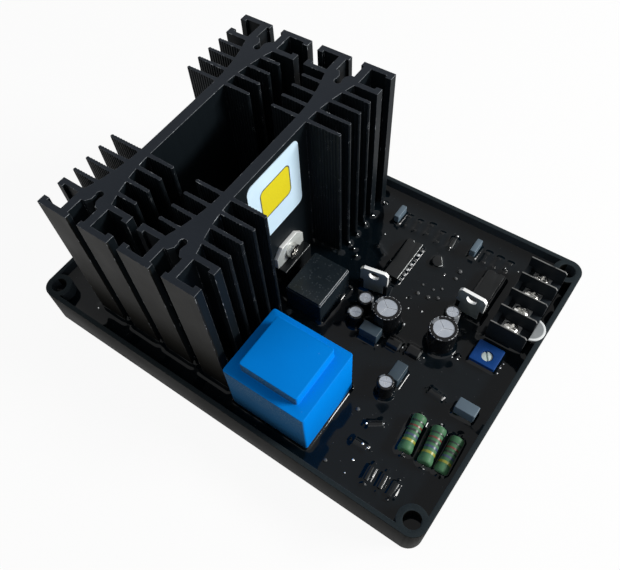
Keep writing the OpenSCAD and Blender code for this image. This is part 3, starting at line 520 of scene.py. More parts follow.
def label_finish():
    centre, _ = middle("plain_label")
    m = Finish("white_film_label")
    cloud = m.grain(120, 4)
    _, y, z = m.axes(m.moved(offset=(-centre.x, -centre.y, -centre.z)))

    def panel(up, half_y, half_z, corner):
        """Distance outside a rounded field in the label's plane."""
        out_y = (abs(y) - (half_y - corner)).most(0.0)
        out_z = (abs(z - up) - (half_z - corner)).most(0.0)
        return (out_y * out_y + out_z * out_z).math("SQRT") - corner

    field = panel(1.6 * MM, 7.6 * MM, 6.4 * MM, 2.2 * MM)
    inside = field < -0.45 * MM
    ink = (field > -0.45 * MM) * (field < 0.0)
    white = m.mix(cloud, (0.52, 0.70, 0.82), (0.62, 0.79, 0.92))
    yellow = m.mix(m.grain(2000, 2), (0.62, 0.53, 0.012), (0.72, 0.62, 0.02))
    tone = m.mix(inside, white, yellow)
    tone = m.mix(ink * 0.94, tone, (0.02, 0.02, 0.02))
    lifted = m.edges(0.3 * MM, 0.02, 0.3)
    tone = m.mix(lifted * 0.3, tone, (0.45, 0.47, 0.48))
    return m.done(Base_Color=tone, Roughness=0.26 + 0.12 * cloud, Specular_IOR_Level=0.4,
                  Normal=m.bump(cloud, 0.05 * MM, 0.3))


def transformer_finish():
    m = Finish("bright_blue_moulding")
    cloud = m.grain(70, 4)
    matt = m.grain(2600, 2)
    low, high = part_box("transformer_case")
    _, _, z = m.axes()
    shaded_rough_side = m.facing("Y").eased(-0.5, -0.9)
    upper = ((z - low.z) / (high.z - low.z)).eased(0.35, 0.80)
    lines = m.grain(1, 5, 0.7, m.moved(scale=(2600, 900, 1500)))
    worn_edge_sheen = m.edges(0.35 * MM, 0.03, 0.25) * m.grain(300, 4).eased(0.25, 0.5)
    tone = m.mix(cloud, (0.0, 0.184, 0.64), (0.0, 0.212, 0.72))
    # The side that looks along −Y is painted dark: painted shade. The same mask gives that side its rough
    # texture and the grey streaks on its upper part.
    tone = m.mix(shaded_rough_side * 0.92, tone, (0.018, 0.082, 0.170))
    tone = m.mix(shaded_rough_side * upper * lines.eased(0.46, 0.62) * 0.45, tone, (0.12, 0.21, 0.29))
    # Edges are painted a lighter blue where a noise allows: partly wear, partly a painted highlight.
    tone = m.mix(worn_edge_sheen * 0.55, tone, (0.05, 0.42, 0.92))
    scuffs = m.grain(1300, 6, 0.7).eased(0.66, 0.74) * m.grain(160, 3).eased(0.5, 0.65)
    tone = m.mix(scuffs * 0.4, tone, (0.25, 0.5, 0.8))
    height = matt + shaded_rough_side * (lines * 3.0)
    return m.done(Base_Color=tone, Roughness=0.46 + 0.15 * cloud, Specular_IOR_Level=0.03,
                  Normal=m.bump(height, 0.02 * MM, 0.6))


def relay_finish():
    m = Finish("black_relay_moulding")
    cloud = m.grain(200, 4)
    matt = m.grain(2400, 3, 0.6)
    top = m.facing("Z").eased(0.7, 0.9)
    speck = top * m.flecks(1100).eased(0.40, 0.15) * m.grain(420, 4).eased(0.42, 0.58)
    tone = m.mix(cloud, (0.0070, 0.0110, 0.0145), (0.013, 0.0185, 0.023))
    tone = m.mix(speck * 0.4, tone, (0.07, 0.08, 0.09))
    # Edges are painted a little lighter, and the lit upper edges on the X side lighter still: painted
    # highlights.
    edge = m.edges(0.3 * MM, 0.03, 0.25)
    tone = m.mix(edge * 0.5, tone, (0.05, 0.057, 0.063))
    tone = m.mix(m.lit_edges(0.4 * MM) * 0.8, tone, (0.36, 0.38, 0.40))
    return m.done(Base_Color=tone, Roughness=0.18 + 0.12 * cloud, Specular_IOR_Level=0.14,
                  Normal=m.bump(matt + speck, 0.03 * MM, 0.5))


def can_finish():
    m = Finish("bare_aluminium_can")
    brushed = m.grain(1, 4, 0.6, m.moved(scale=(2600, 500, 500), turn=(0, 0, 0.6)))
    cloud = m.grain(260, 5)
    # The vent scores are painted nearly white and made less metallic: a painted highlight.
    score_glint = m.edges(0.22 * MM, 0.04, 0.22)
    tone = m.mix(cloud, (0.30, 0.33, 0.38), (0.44, 0.47, 0.52))
    tone = m.mix(score_glint * 0.85, tone, (0.92, 0.93, 0.95))
    return m.done(Base_Color=tone, Metallic=0.75 - 0.7 * score_glint, Roughness=0.36 + 0.2 * brushed,
                  Normal=m.bump(brushed, 0.02 * MM, 0.4))


def sleeve_finish(name, centre, stripe):
    """Black shrink sleeve with one plain grey stripe down its side."""
    m = Finish(name)
    x, y, _ = m.axes(m.moved(offset=(-centre.x, -centre.y, 0)))
    angle = y.math("ARCTAN2", x)
    away = (angle - math.radians(stripe)).math("WRAP", math.pi, -math.pi)
    band = abs(away).eased(0.42, 0.36)
    cloud = m.grain(420, 4)
    tone = m.mix(cloud, (0.0030, 0.0034, 0.0042), (0.0066, 0.0074, 0.0084))
    tone = m.mix(band * 0.85, tone, (0.20, 0.215, 0.235))
    return m.done(Base_Color=tone, Roughness=0.10 + 0.12 * cloud, Specular_IOR_Level=0.20,
                  Normal=m.bump(cloud, 0.05 * MM, 0.5))


def film_finish(name, dark, light):
    m = Finish(name)
    cloud = m.grain(260, 4)
    matt = m.grain(3000, 2)
    # Edges are painted lighter where a noise allows: partly wear, partly a painted highlight.
    worn_edge_sheen = m.edges(0.3 * MM, 0.03, 0.25) * m.grain(800, 4).eased(0.4, 0.6)
    tone = m.mix(cloud, dark, light)
    tone = m.mix(worn_edge_sheen * 0.45, tone, (0.30, 0.36, 0.42))
    return m.done(Base_Color=tone, Roughness=0.28 + 0.15 * cloud, Specular_IOR_Level=0.25,
                  Normal=m.bump(matt, 0.015 * MM, 0.5))


def resistor_finish():
    m = Finish("mint_green_coating")
    cloud = m.grain(420, 4)
    lumps = m.grain(1100, 3)
    spots = m.flecks(1800).eased(0.30, 0.16) * m.grain(600, 3).eased(0.5, 0.65)
    tone = m.mix(cloud, (0.034, 0.108, 0.052), (0.080, 0.190, 0.100))
    tone = m.mix(spots * 0.4, tone, (0.03, 0.07, 0.045))
    return m.done(Base_Color=tone, Roughness=0.36 + 0.2 * cloud, Specular_IOR_Level=0.16,
                  Normal=m.bump(lumps, 0.08 * MM, 0.5))


def trimmer_finish():
    m = Finish("blue_trimmer_moulding")
    cloud = m.grain(400, 4)
    speck = m.flecks(2200).eased(0.28, 0.12) * m.grain(900, 3).eased(0.5, 0.62)
    tone = m.mix(cloud, (0.003, 0.032, 0.145), (0.006, 0.050, 0.210))
    tone = m.mix(speck * 0.5, tone, (0.05, 0.16, 0.45))
    return m.done(Base_Color=tone, Roughness=0.42 + 0.15 * cloud, Specular_IOR_Level=0.10,
                  Normal=m.bump(m.grain(2400, 2), 0.02 * MM, 0.5))


def terminal_finish():
    m = Finish("black_terminal_moulding")
    cloud = m.grain(260, 4)
    matt = m.grain(2800, 2)
    low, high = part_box("terminal_block")
    x, _, z = m.axes()
    patchy = m.grain(500, 5).eased(0.25, 0.50)
    # Patches of the dividers' tops, and of the faces that look along X at the block's far end, are painted
    # light grey: painted highlights.
    crest_highlight = m.facing("Z").eased(0.3, 0.7) * (z > high.z - 1.2 * MM) * patchy
    nose_highlight = m.facing("X").eased(0.3, 0.7) * (x > high.x - 1.2 * MM) * (z > low.z + 7.5 * MM) * patchy
    tone = m.mix(cloud, (0.0085, 0.0120, 0.0155), (0.0145, 0.0185, 0.0230))
    tone = m.mix(nose_highlight * 0.8, tone, (0.080, 0.082, 0.084))
    tone = m.mix(crest_highlight * 0.9, tone, (0.200, 0.202, 0.200))
    return m.done(Base_Color=tone, Roughness=0.36 + 0.2 * cloud, Specular_IOR_Level=0.08,
                  Normal=m.bump(matt, 0.02 * MM, 0.5))


TAB_RADIUS = 4.6 * MM


def grey_tab_finish():
    m = Finish("pale_grey_tab")
    cloud = m.grain(500, 4)
    low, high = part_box("half_round_tab")
    x, y, _ = m.axes(m.moved(offset=(TAB_RADIUS - high.x, -(low.y + high.y) / 2, 0)))
    # A ring near the tab's round edge is painted nearly white: a painted highlight.
    rim = (x * x + y * y).math("SQRT").eased(TAB_RADIUS - 0.9 * MM, TAB_RADIUS - 0.5 * MM)
    tone = m.mix(cloud, (0.170, 0.190, 0.200), (0.250, 0.265, 0.275))
    tone = m.mix(rim * 0.95, tone, (0.70, 0.73, 0.74))
    return m.done(Base_Color=tone, Roughness=0.30 + 0.2 * cloud, Specular_IOR_Level=0.3,
                  Normal=m.bump(cloud, 0.04 * MM, 0.4))


def band_finish():
    m = Finish("painted_bands")
    hue = m.node("ShaderNodeAttribute", {"attribute_name": "hue"}, out="Color")
    cloud = m.grain(900, 4)
    tone = m.mix(cloud * 0.2, hue, (0.05, 0.09, 0.07))
    return m.done(Base_Color=tone, Roughness=0.28 + 0.2 * cloud, Specular_IOR_Level=0.45,
                  Normal=m.bump(m.grain(1100, 3), 0.06 * MM, 0.5))


COATS = {
    "tray_plastic": tray_finish(),
    "board_laminate": plain_finish("green_laminate", grain=(1800, 3), rough=(0.4, 0.15), bumps=(0.02, 0.4),
                                   tones=((0.02, 0.10, 0.05), (0.03, 0.16, 0.08))),
    "potting_resin": resin_finish("black_potting_resin", 0.145),
    "black_anodised": anodised_finish(),
    "zinc_steel": steel_finish(),
    "tab_metal": tab_finish("tinned_copper_tab", "Y", (0.140, 0.168, 0.178), (0.200, 0.235, 0.245)),
    "device_black": epoxy_finish("black_epoxy_moulding", 0.12),
    "tinned_wire": plain_finish("tinned_lead_wire", grain=(900, 4), rough=(0.18, 0.25), bumps=(0.05, 0.6),
                                tones=((0.35, 0.36, 0.36), (0.85, 0.86, 0.86)), Metallic=1.0),
    "label_white": label_finish(),
    "transformer_blue": transformer_finish(),
    "relay_black": relay_finish(),
    "can_aluminium": can_finish(),
    "film_grey": film_finish("blue_grey_film_capacitor", (0.078, 0.114, 0.147), (0.108, 0.150, 0.190)),
    "resistor_green": resistor_finish(),
    "trimmer_blue": trimmer_finish(),
    "rotor_white": plain_finish("ivory_rotor", grain=(900, 4), rough=(0.4, 0.15), bumps=(0.03, 0.4),
                                tones=((0.38, 0.47, 0.46), (0.56, 0.64, 0.62))),
    "terminal_black": terminal_finish(),
    "tab_grey": grey_tab_finish(),
    "coated_resistor": plain_finish("resin_coated_resistor", grain=(800, 4), rough=(0.07, 0.12),
                                    bumps=(0.12, 0.6), lumps=(1200, 3), Specular_IOR_Level=0.22,
                                    tones=((0.003, 0.004, 0.005), (0.010, 0.011, 0.012))),
}
fillet_coat = resin_finish("bright_resin_fillets", 0.25)
bands_coat = band_finish()
beads_coat = plain_finish("solder_beads_and_glint_dots", grain=(1600, 4), rough=(0.10, 0.2), bumps=(0.05, 0.5),
                          tones=((0.42, 0.44, 0.45), (0.92, 0.93, 0.93)), Metallic=1.0)
blobs_coat = plain_finish("resin_coated_joints", grain=(1600, 4), rough=(0.08, 0.15), bumps=(0.05, 0.5),
                          tones=((0.012, 0.014, 0.016), (0.11, 0.115, 0.12)), Specular_IOR_Level=0.3)
dust_coat = plain_finish("pale_dust", grain=(3000, 3), rough=(0.7, 0.2), bumps=(0.02, 0.4),
                         tones=((0.05, 0.055, 0.06), (0.16, 0.165, 0.17)))
# A darker copy of the film finish, for capacitors 3 and 4.
dark_film_coat = film_finish("darker_film_capacitor", (0.026, 0.042, 0.056), (0.042, 0.064, 0.084))
pale_tab_coat = tab_finish("pale_tinned_tab", "X", (0.40, 0.43, 0.42), (0.54, 0.57, 0.56))
# A copy of the moulding with a strong painted glint, for the first IC and the small transistor.
lit_epoxy_coat = epoxy_finish("black_epoxy_with_strong_glint", 0.9)

for part in frame["record"]["subparts"]:
    if part["material_slot"] in COATS:
        paint(part["node"], COATS[part["material_slot"]])
dipped_coat = dipped_finish("resin_dipped_leads")
paint("component_leads", dipped_coat)
paint("ic_2_pins", dipped_coat)
# The first IC's pins on the lamp's side are made bright bare metal: a painted highlight.
paint("ic_1_pins", dipped_finish("pins_bright_on_lit_side", middle("ic_1_pins")[0].x))


# Moulded and cut parts with eased edges

EASED = {
    "tray": (0.45, "tray_plastic"),
    "transformer_case": (0.3, "transformer_blue"),
    "relay_case": (0.32, "relay_black"),
    "trimmer_body": (0.2, "trimmer_blue"),
    "terminal_block": (0.14, "terminal_black"),
    "half_round_tab": (0.15, "tab_grey"),
    "small_transistor": (0.2, "device_black"),
}
for k in (1, 2):
    EASED["ic_%d_body" % k] = (0.32, "device_black")
    EASED["regulator_%d_body" % k] = (0.2, "device_black")
    EASED["regulator_%d_tab" % k] = (0.14, "tab_metal")
for side in ("rear", "front"):
    EASED[side + "_power_body"] = (0.3, "device_black")
    EASED[side + "_power_tab"] = (0.16, "tab_metal")
for k in range(1, 6):
    EASED["film_capacitor_%d" % k] = (0.28, "film_grey")
OWN_COATS = {
    "rear_power_tab": pale_tab_coat, "front_power_tab": pale_tab_coat,
    "film_capacitor_3": dark_film_coat, "film_capacitor_4": dark_film_coat,
    "ic_1_body": lit_epoxy_coat, "small_transistor": lit_epoxy_coat,
}
for node, (width, slot) in EASED.items():
    eased(node, width, slot, OWN_COATS.get(node, COATS[slot]))
eased("trimmer_rotor", 0.1, "rotor_white", COATS["rotor_white"], ROTOR)


# Shrink sleeves of the electrolytic capacitors

SLEEVE_WALL = 0.25 * MM
SLEEVE_LIPS = {"large": (1.4 * MM, 0.8 * MM), "small": (0.75 * MM, 0.5 * MM)}
LIP_DROP = 0.06 * MM
LID_GAP = 0.02 * MM
CRINKLES = {"large": 22, "small": 14}
CRINKLE_DEPTH = 0.10 * MM
STRIPES = {"large_capacitor_1": 160, "large_capacitor_2": 165, "small_capacitor_1": 20,
           "small_capacitor_2": 200, "small_capacitor_3": -30, "small_capacitor_4": 150}


def sleeve(cap, stripe):
    """A shrunk sleeve, crinkled where it is rolled over the lid, its grey stripe at an angle in degrees."""
    node = cap + "_sleeve"
    centre, size = middle(node)
    offset = Vector((centre.x, centre.y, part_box(node)[0].z))
    radius, height = size.x / 2, size.z
    size_class = cap.split("_")[0]
    lip, shoulder = SLEEVE_LIPS[size_class]
    inner, under = radius - SLEEVE_WALL, height - SLEEVE_WALL + LID_GAP
    profile = [(inner, 0.0), (radius, 0.0), (radius, 0.55 * height), (radius, height - shoulder)]
    profile += arc((radius - shoulder, height - shoulder), shoulder, 8, 96, 7)
    profile += [(radius - lip, height - LIP_DROP), (radius - lip, under), (inner, under), (inner, 0.0)]
    vertices, faces = turned(profile, 6 * CRINKLES[size_class])
    crinkled = []
    for x, y, z in vertices:
        share = min(max((z - height + 1.3 * shoulder) / shoulder, 0.0), 1.0) ** 2
        angle = math.atan2(y, x)
        c, s = math.cos(angle), math.sin(angle)
        shift = 2.5 * noise.noise(Vector((4 * c, 4 * s, stripe)))
        uneven = 0.6 + 0.8 * noise.noise(Vector((3 * c, 3 * s, 7.0 + stripe)))
        dent = CRINKLE_DEPTH * share * uneven * (math.sin(CRINKLES[size_class] * angle + shift) - 1.0)
        drawn_in = Vector((x, y, 0.0)) * (1.0 + 0.7 * dent / radius)
        crinkled.append(offset + drawn_in + Vector((0.0, 0.0, z + 0.6 * dent)))
    mesh = mesh_from(node, crinkled, faces)
    mend(mesh, weld, face_out)
    set_smooth(mesh, 40)
    coat = sleeve_finish("black_shrink_sleeve_" + cap, centre, stripe)
    join(new_piece(cap + "_rolled_sleeve", mesh), MODULE, "sleeve_black", coat, node)


for cap, stripe in STRIPES.items():
    sleeve(cap, stripe)


# Power resistors: lacquered bodies with swollen ends, lying along their leads

BODY_HALF = 6.7 * MM
BODY_RADIUS = 2.15 * MM
END_RADIUS = 2.4 * MM
END_LENGTH = 2.4 * MM
END_ROUND = 0.9 * MM
SWELL_FROM = BODY_HALF - END_LENGTH - 0.5 * MM
SWELL_LENGTH = 1.1 * MM
TURNS = (-83, -83, -87)


def resistor_radius(t):
    """Radius of the coating at a distance from the middle."""
    share = min(max((abs(t) - SWELL_FROM) / SWELL_LENGTH, 0.0), 1.0)
    return BODY_RADIUS + (END_RADIUS - BODY_RADIUS) * share


def lying(node, turn):
    """Place of a part that lies along its leads, with its axis turned from X."""
    across = Matrix.Rotation(math.radians(turn), 4, "Z") @ Matrix.Rotation(math.pi / 2, 4, "Y")
    return Matrix.Translation(middle(node)[0]) @ across


def power_resistor(number, turn):
    node = "power_resistor_%d" % number
    profile = [(0.0, -BODY_HALF), (END_ROUND, -BODY_HALF)]
    profile += arc((END_RADIUS - END_ROUND, -BODY_HALF + END_ROUND), END_ROUND, -90, 0, 5)
    for k in range(31):
        t = (BODY_HALF - 1.2 * MM) * (k / 15 - 1)
        profile.append((resistor_radius(t), t))
    profile += arc((END_RADIUS - END_ROUND, BODY_HALF - END_ROUND), END_ROUND, 0, 90, 5)
    profile += [(END_ROUND, BODY_HALF), (0.0, BODY_HALF)]
    vertices, faces = turned(profile, 40)
    place = lying(node, turn)
    shaped = []
    for p in map(Vector, vertices):
        swell = 1.0 + 0.018 * noise.noise(p * 420.0 + Vector((number * 7.0, 0, 0)))
        shaped.append(place @ Vector((p.x * swell, p.y * swell, p.z)))
    mesh = mesh_from(node, shaped, faces)
    set_smooth(mesh, 60)
    join(new_piece(node + "_lacquered", mesh), MODULE, "resistor_green", COATS["resistor_green"], node)


for number, turn in enumerate(TURNS, 1):
    power_resistor(number, turn)


# Painted bands, as short tubes on the bodies of the power resistors

def band_maker():
    g = Maker("band_maker", Radius="Float", Width="Float", Sides="Int", Coat="Material")
    hoop = g.node("GeometryNodeMeshCylinder", {"fill_type": "NONE"},
                  {"Vertices": g.given("Sides"), "Side Segments": 3, "Radius": 1.0, "Depth": 1.0})
    aim = g.node("GeometryNodeInputNamedAttribute", {"data_type": "FLOAT_VECTOR"}, {"Name": "aim"})
    turn = g.node("FunctionNodeAlignRotationToVector", {"axis": "Z"}, {"Vector": aim})
    return g.ends(hoop, Rotation=turn, Scale=g.vector(g.given("Radius"), g.given("Radius"), g.given("Width")))


BAND = band_maker()
BAND_LIFT = 0.03 * MM
RESISTOR_BANDS = (
    (4.2, 0.7, (0.006, 0.009, 0.010)), (2.3, 0.6, (0.15, 0.020, 0.014)), (0.7, 0.7, (0.006, 0.009, 0.010)),
    (-1.0, 0.8, (0.040, 0.058, 0.12)), (-2.9, 0.9, (0.26, 0.26, 0.026)),
)


def bands(name, spots, radius, width, slot):
    """Bands of one width: each spot is a place, an axis and a colour."""
    base = mesh_from(name, [place for place, _, _ in spots])
    aim = base.attributes.new("aim", "FLOAT_VECTOR", "POINT")
    for k, (_, axis, _) in enumerate(spots):
        aim.data[k].vector = axis
    hue = base.attributes.new("hue", "FLOAT_COLOR", "POINT")
    for k, (_, _, colour) in enumerate(spots):
        hue.data[k].color = (*colour, 1.0)
    piece = BAND.made(name, base, Radius=radius, Width=width, Sides=40, Coat=bands_coat)
    piece.data.shade_smooth()
    return join(piece, MODULE, slot, None)


for index, (along, width, colour) in enumerate(RESISTOR_BANDS, 1):
    spots = []
    for number, turn in enumerate(TURNS, 1):
        place = lying("power_resistor_%d" % number, turn)
        axis = (place.to_3x3() @ Vector((0, 0, 1))).normalized()
        spots.append((place @ Vector((0, 0, -along * MM)), axis, colour))
    radius = resistor_radius(along * MM) + BAND_LIFT
    bands("resistor_band_%d" % index, spots, radius, width * MM, "resistor_green")


# Potting resin: a poured surface that climbs the tray's walls and the parts standing in it

POT_LOW, POT_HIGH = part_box("potting_compound")
POT_LEVEL = POT_HIGH.z
CUT_LEVEL = POT_LEVEL + 0.05 * MM
CUT_PITCH = 0.25 * MM
FINE_GRID = 0.38 * MM
COARSE_GRID = 0.8 * MM
FINE_FROM = 1.0 * MM

# Heights are in millimetres. An apron lies before the heatsinks' near plates, flat with a thin edge.
CLIMBS = (
    (("heatsink",), 1.2, 0.9 * MM),
    (("small_resistors",), 0.55, 0.6 * MM),
    (("leads", "diodes", "small_transistor"), 0.9, 0.6 * MM),
    (("",), 0.4, 1.0 * MM),
)
WALL_CLIMB = 0.9
WALL_REACH = 2.0 * MM
APRON_HEIGHT = 0.36
APRON_FLAT = 1.5 * MM
APRON_EDGE = 0.19 * MM
PLATES_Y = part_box("front_heatsink")[0].y
CALM_REACH = 2 * MM

# Lumps over leads and joints: place, radius and height, all in millimetres
LUMPS = (
    (4.0, 48.1, 1.3, 1.1), (3.2, 40.3, 1.2, 1.2), (3.2, 34.7, 1.2, 1.2), (3.0, 29.1, 1.2, 1.2),
    (3.0, 23.9, 1.3, 1.2), (6.0, 23.1, 1.3, 0.8), (8.5, 20.4, 1.4, 0.8), (56.5, 44.2, 1.1, 0.7),
    (59.4, 4.4, 1.3, 0.8), (37.8, 5.0, 1.2, 0.8), (34.0, 15.6, 1.1, 0.7), (60.6, 0.0, 3.2, 0.32),
    (20.5, -24.0, 4.0, 0.2), (-66.0, -8.0, 9.0, 0.18), (33.0, 40.5, 2.4, 0.25), (48.0, 24.5, 2.6, 0.22),
    (30.5, -28.5, 3.4, 0.2), (70.0, -47.5, 3.0, 0.15),
)
NOT_STANDING = ("potting_compound", "circuit_board", "heatsink_screws", "terminal_plates", "terminal_screws",
                "plain_label", "half_round_tab", "trimmer_rotor", "tray", "ic_1_pins", "ic_2_pins")


def drift(p, pitch, offset=(0, 0, 0)):
    """Smooth noise at a place in millimetres."""
    return noise.noise(p * pitch + Vector(offset))


def outline_points(node):
    """Points along the line in which a solid leaves the resin."""
    mesh = nodes[node].data
    places = np.empty(len(mesh.vertices) * 3)
    mesh.vertices.foreach_get("co", places)
    mesh.calc_loop_triangles()
    corners = np.empty(len(mesh.loop_triangles) * 3, np.int32)
    mesh.loop_triangles.foreach_get("vertices", corners)
    triangles = places.reshape(-1, 3)[corners.reshape(-1, 3)]
    above = triangles[:, :, 2] - CUT_LEVEL
    crossing = (above.min(axis=1) < 0) & (above.max(axis=1) > 0)
    points = []
    for corner, side in zip(triangles[crossing], above[crossing]):
        ends = []
        for a, b in ((0, 1), (1, 2), (2, 0)):
            if (side[a] < 0) != (side[b] < 0):
                share = side[a] / (side[a] - side[b])
                ends.append(corner[a] + share * (corner[b] - corner[a]))
        if len(ends) == 2:
            count = max(int(np.linalg.norm(ends[1] - ends[0]) / CUT_PITCH), 1)
            for k in range(count + 1):
                points.append(ends[0] + (ends[1] - ends[0]) * (k / count))
    return points


def climb_class(node):
    return next(k for k, (words, _, _) in enumerate(CLIMBS) if any(word in node for word in words))


def resin_height(x, y, distances):
    """Level of the resin at a place with given distances from the parts of each class."""
    p = Vector((x, y, 0.0)) / MM
    swell = 0.10 * drift(p, 0.11) + 0.05 * drift(p, 0.29, (9, 3, 0))
    uneven = 0.92 + 0.3 * drift(p, 0.3, (0, 40, 7))
    climbs = [height * math.exp(-distance / length) for (_, height, length), distance in zip(CLIMBS, distances)]
    apron = APRON_HEIGHT * math.exp(-max(distances[0] - APRON_FLAT, 0.0) / APRON_EDGE)
    before = min(max((PLATES_Y - y) / MM + 1.2, 0.0), 1.0)
    climbs[0] += (apron - climbs[0]) * before
    total = sum(climb ** 3 for climb in climbs)
    beside = min(x - POT_LOW.x, POT_HIGH.x - x, y - POT_LOW.y, POT_HIGH.y - y)
    wall = WALL_CLIMB * math.exp(-beside / WALL_REACH)
    calm = min(min(distances) / CALM_REACH, 1.0)
    z = POT_LEVEL + (swell * calm + uneven * total ** (1 / 3) + wall) * MM
    for lump_x, lump_y, radius, height in LUMPS:
        away = math.hypot(p.x - lump_x, p.y - lump_y) / radius
        if away < 1.0:
            z += height * MM * (1 - away * away) ** 2
    return z


class Standing:
    """The parts of one class that stand in the resin: their solids, and their outlines at its level."""

    def __init__(self):
        self.corners, self.sides, self.outline = [], [], []

    def add(self, node):
        mesh = nodes[node].data
        self.outline += outline_points(node)
        first = len(self.corners)
        self.corners += [v.co.copy() for v in mesh.vertices]
        self.sides += [[first + k for k in t.vertices] for t in mesh.loop_triangles]

    def settle(self):
        self.solids = BVHTree.FromPolygons(self.corners, self.sides)
        self.tree = kdtree.KDTree(len(self.outline))
        for k, p in enumerate(self.outline):
            self.tree.insert((p[0], p[1], 0.0), k)
        self.tree.balance()

    def distance(self, x, y):
        """Distance of a place from the parts, 0 inside them."""
        place, normal, _, _ = self.solids.ray_cast(Vector((x, y, CUT_LEVEL)), Vector((0, 0, 1)))
        if place is not None and normal.z > 0:
            return 0.0
        return self.tree.find((x, y, 0.0))[2]


def standing_parts():
    classes = [Standing() for _ in CLIMBS]
    for node in sorted(nodes):
        if node not in NOT_STANDING:
            classes[climb_class(node)].add(node)
    for parts in classes:
        parts.settle()
    return classes


def steps(start, stop, pitch):
    return np.linspace(start, stop, int(round((stop - start) / pitch)) + 1)


def resin_surface():
    classes = standing_parts()
    coarse, fine = steps(POT_LOW.x, FINE_FROM, COARSE_GRID), steps(FINE_FROM, POT_HIGH.x, FINE_GRID)
    xs = np.concatenate([coarse[:-1], fine])
    ys = steps(POT_LOW.y, POT_HIGH.y, FINE_GRID)
    across, along = len(xs), len(ys)
    vertices, faces = [], []
    for y in ys:
        for x in xs:
            distances = [parts.distance(x, y) for parts in classes]
            vertices.append((x, y, resin_height(x, y, distances)))
    for j in range(along - 1):
        for i in range(across - 1):
            a = j * across + i
            faces.append((a, a + 1, a + across + 1, a + across))
    rim = list(range(across)) + [j * across + across - 1 for j in range(1, along)]
    rim += [(along - 1) * across + i for i in range(across - 2, -1, -1)]
    rim += [j * across for j in range(along - 2, 0, -1)]
    foot = len(vertices)
    vertices += [(vertices[k][0], vertices[k][1], POT_LOW.z) for k in rim]
    for k in range(len(rim)):
        n = (k + 1) % len(rim)
        faces.append((rim[k], foot + k, foot + n, rim[n]))
    faces.append([foot + k for k in range(len(rim) - 1, -1, -1)])
    mesh = mesh_from("potting_surface", vertices, faces)
    set_smooth(mesh, 70)
    piece = new_piece("potting_surface", mesh)
    return join(piece, MODULE, "potting_resin", COATS["potting_resin"], "potting_compound")


resin = resin_surface()


# Resin drawn up the foot of each larger part: height and reach in millimetres

FILLETS = {
    "transformer_case": (0.9, 1.5), "relay_case": (1.0, 1.6),
    "trimmer_body": (0.9, 1.4), "terminal_block": (0.8, 1.2),
}
for k in (1, 2):
    FILLETS["ic_%d_body" % k] = (1.7, 1.6)
    FILLETS["regulator_%d_body" % k] = (1.4, 1.4)
for k in range(1, 6):
    FILLETS["film_capacitor_%d" % k] = (1.1, 1.6)
for k in range(1, 4):
    FILLETS["power_resistor_%d" % k] = (1.2, 2.0)
for cap in STRIPES:
    FILLETS[cap + "_sleeve"] = (1.6, 1.5) if cap.startswith("large") else (1.3, 1.2)
PROFILE_STEPS = 9
STATION_PITCH = 0.4 * MM
FAN_ANGLE = 0.2
INSIDE = 0.12 * MM
BELOW = 0.5 * MM

# Where the outward direction's X lies under these, the resin is heaped up over pins
MOUNDS = {"ic_1_body": 0.0, "ic_2_body": 2.0}


def stations(node):
    """Places round a part at the resin's level, each with its outward direction."""
    points = [Vector((p[0], p[1])) for p in outline_points(node)]
    hull = [points[k] for k in convex_hull_2d(points)]
    if sum(a.x * b.y - b.x * a.y for a, b in zip(hull, hull[1:] + hull[:1])) < 0:
        hull.reverse()
    ring = [p for k, p in enumerate(hull) if (p - hull[k - 1]).length > 0.02 * MM]
    found = []
    for k, start in enumerate(ring):
        before, stop = ring[k - 1], ring[(k + 1) % len(ring)]
        old, new = (start - before).normalized(), (stop - start).normalized()
        turn = math.atan2(old.x * new.y - old.y * new.x, old.dot(new))
        fan = max(int(abs(turn) / FAN_ANGLE), 1)
        for step in range(1, fan + 1):
            c, s = math.cos(turn * step / fan), math.sin(turn * step / fan)
            found.append((start, Vector((old.x * s + old.y * c, old.y * s - old.x * c))))
        count = max(int((stop - start).length / STATION_PITCH), 1)
        for step in range(1, count):
            found.append((start.lerp(stop, step / count), Vector((new.y, -new.x))))
    return found


def fillet(node, height, reach, vertices, faces):
    """Adds a collar of resin round a part, hollow-curved or heaped up over the pins beside it."""
    places = stations(node)
    first, rows = len(vertices), PROFILE_STEPS + 4
    for place, out in places:
        p = Vector((place.x, place.y, 0.0)) / MM
        tall = height * MM * (1.0 + 0.06 * drift(p, 0.16, (5, 1, 3)))
        wide = reach * MM * (1.0 + 0.08 * drift(p, 0.12, (2, 8, 1)))
        heaped = out.x < MOUNDS.get(node, -2.0)
        line = [(-INSIDE, -BELOW), (-INSIDE, tall)]
        for k in range(PROFILE_STEPS + 1):
            t = k / PROFILE_STEPS
            line.append((wide * t, tall * (1 - t ** 3 if heaped else (1 - t) ** 2) + 0.02 * MM))
        line.append((wide + 0.3 * MM, -BELOW))
        vertices += [(place.x + out.x * d, place.y + out.y * d, POT_LEVEL + z) for d, z in line]
    for j in range(len(places)):
        a, b = first + j * rows, first + (j + 1) % len(places) * rows
        for k in range(rows):
            n = (k + 1) % rows
            faces.append((a + k, a + n, b + n, b + k))


def resin_fillets():
    vertices, faces = [], []
    for node, (height, reach) in FILLETS.items():
        fillet(node, height, reach, vertices, faces)
    mesh = mesh_from("resin_fillets", vertices, faces)
    mend(mesh, face_out)
    set_smooth(mesh, 50)
    join(new_piece("resin_fillets", mesh), MODULE, "potting_resin", fillet_coat)


resin_fillets()


# Solder beads at lead ends, bright beads that stand in for glints on the resin, and dust on the resin

def bead_maker():
    g = Maker("bead_maker", Size="Float", Flatness="Float", Seed="Int", Coat="Material")
    drop = g.node("GeometryNodeMeshIcoSphere", {}, {"Radius": 1.0, "Subdivisions": 3})
    size = g.chance(0.6, 1.25) * g.given("Size")
    return g.ends(drop, Scale=g.vector(size, size, size * g.given("Flatness")))


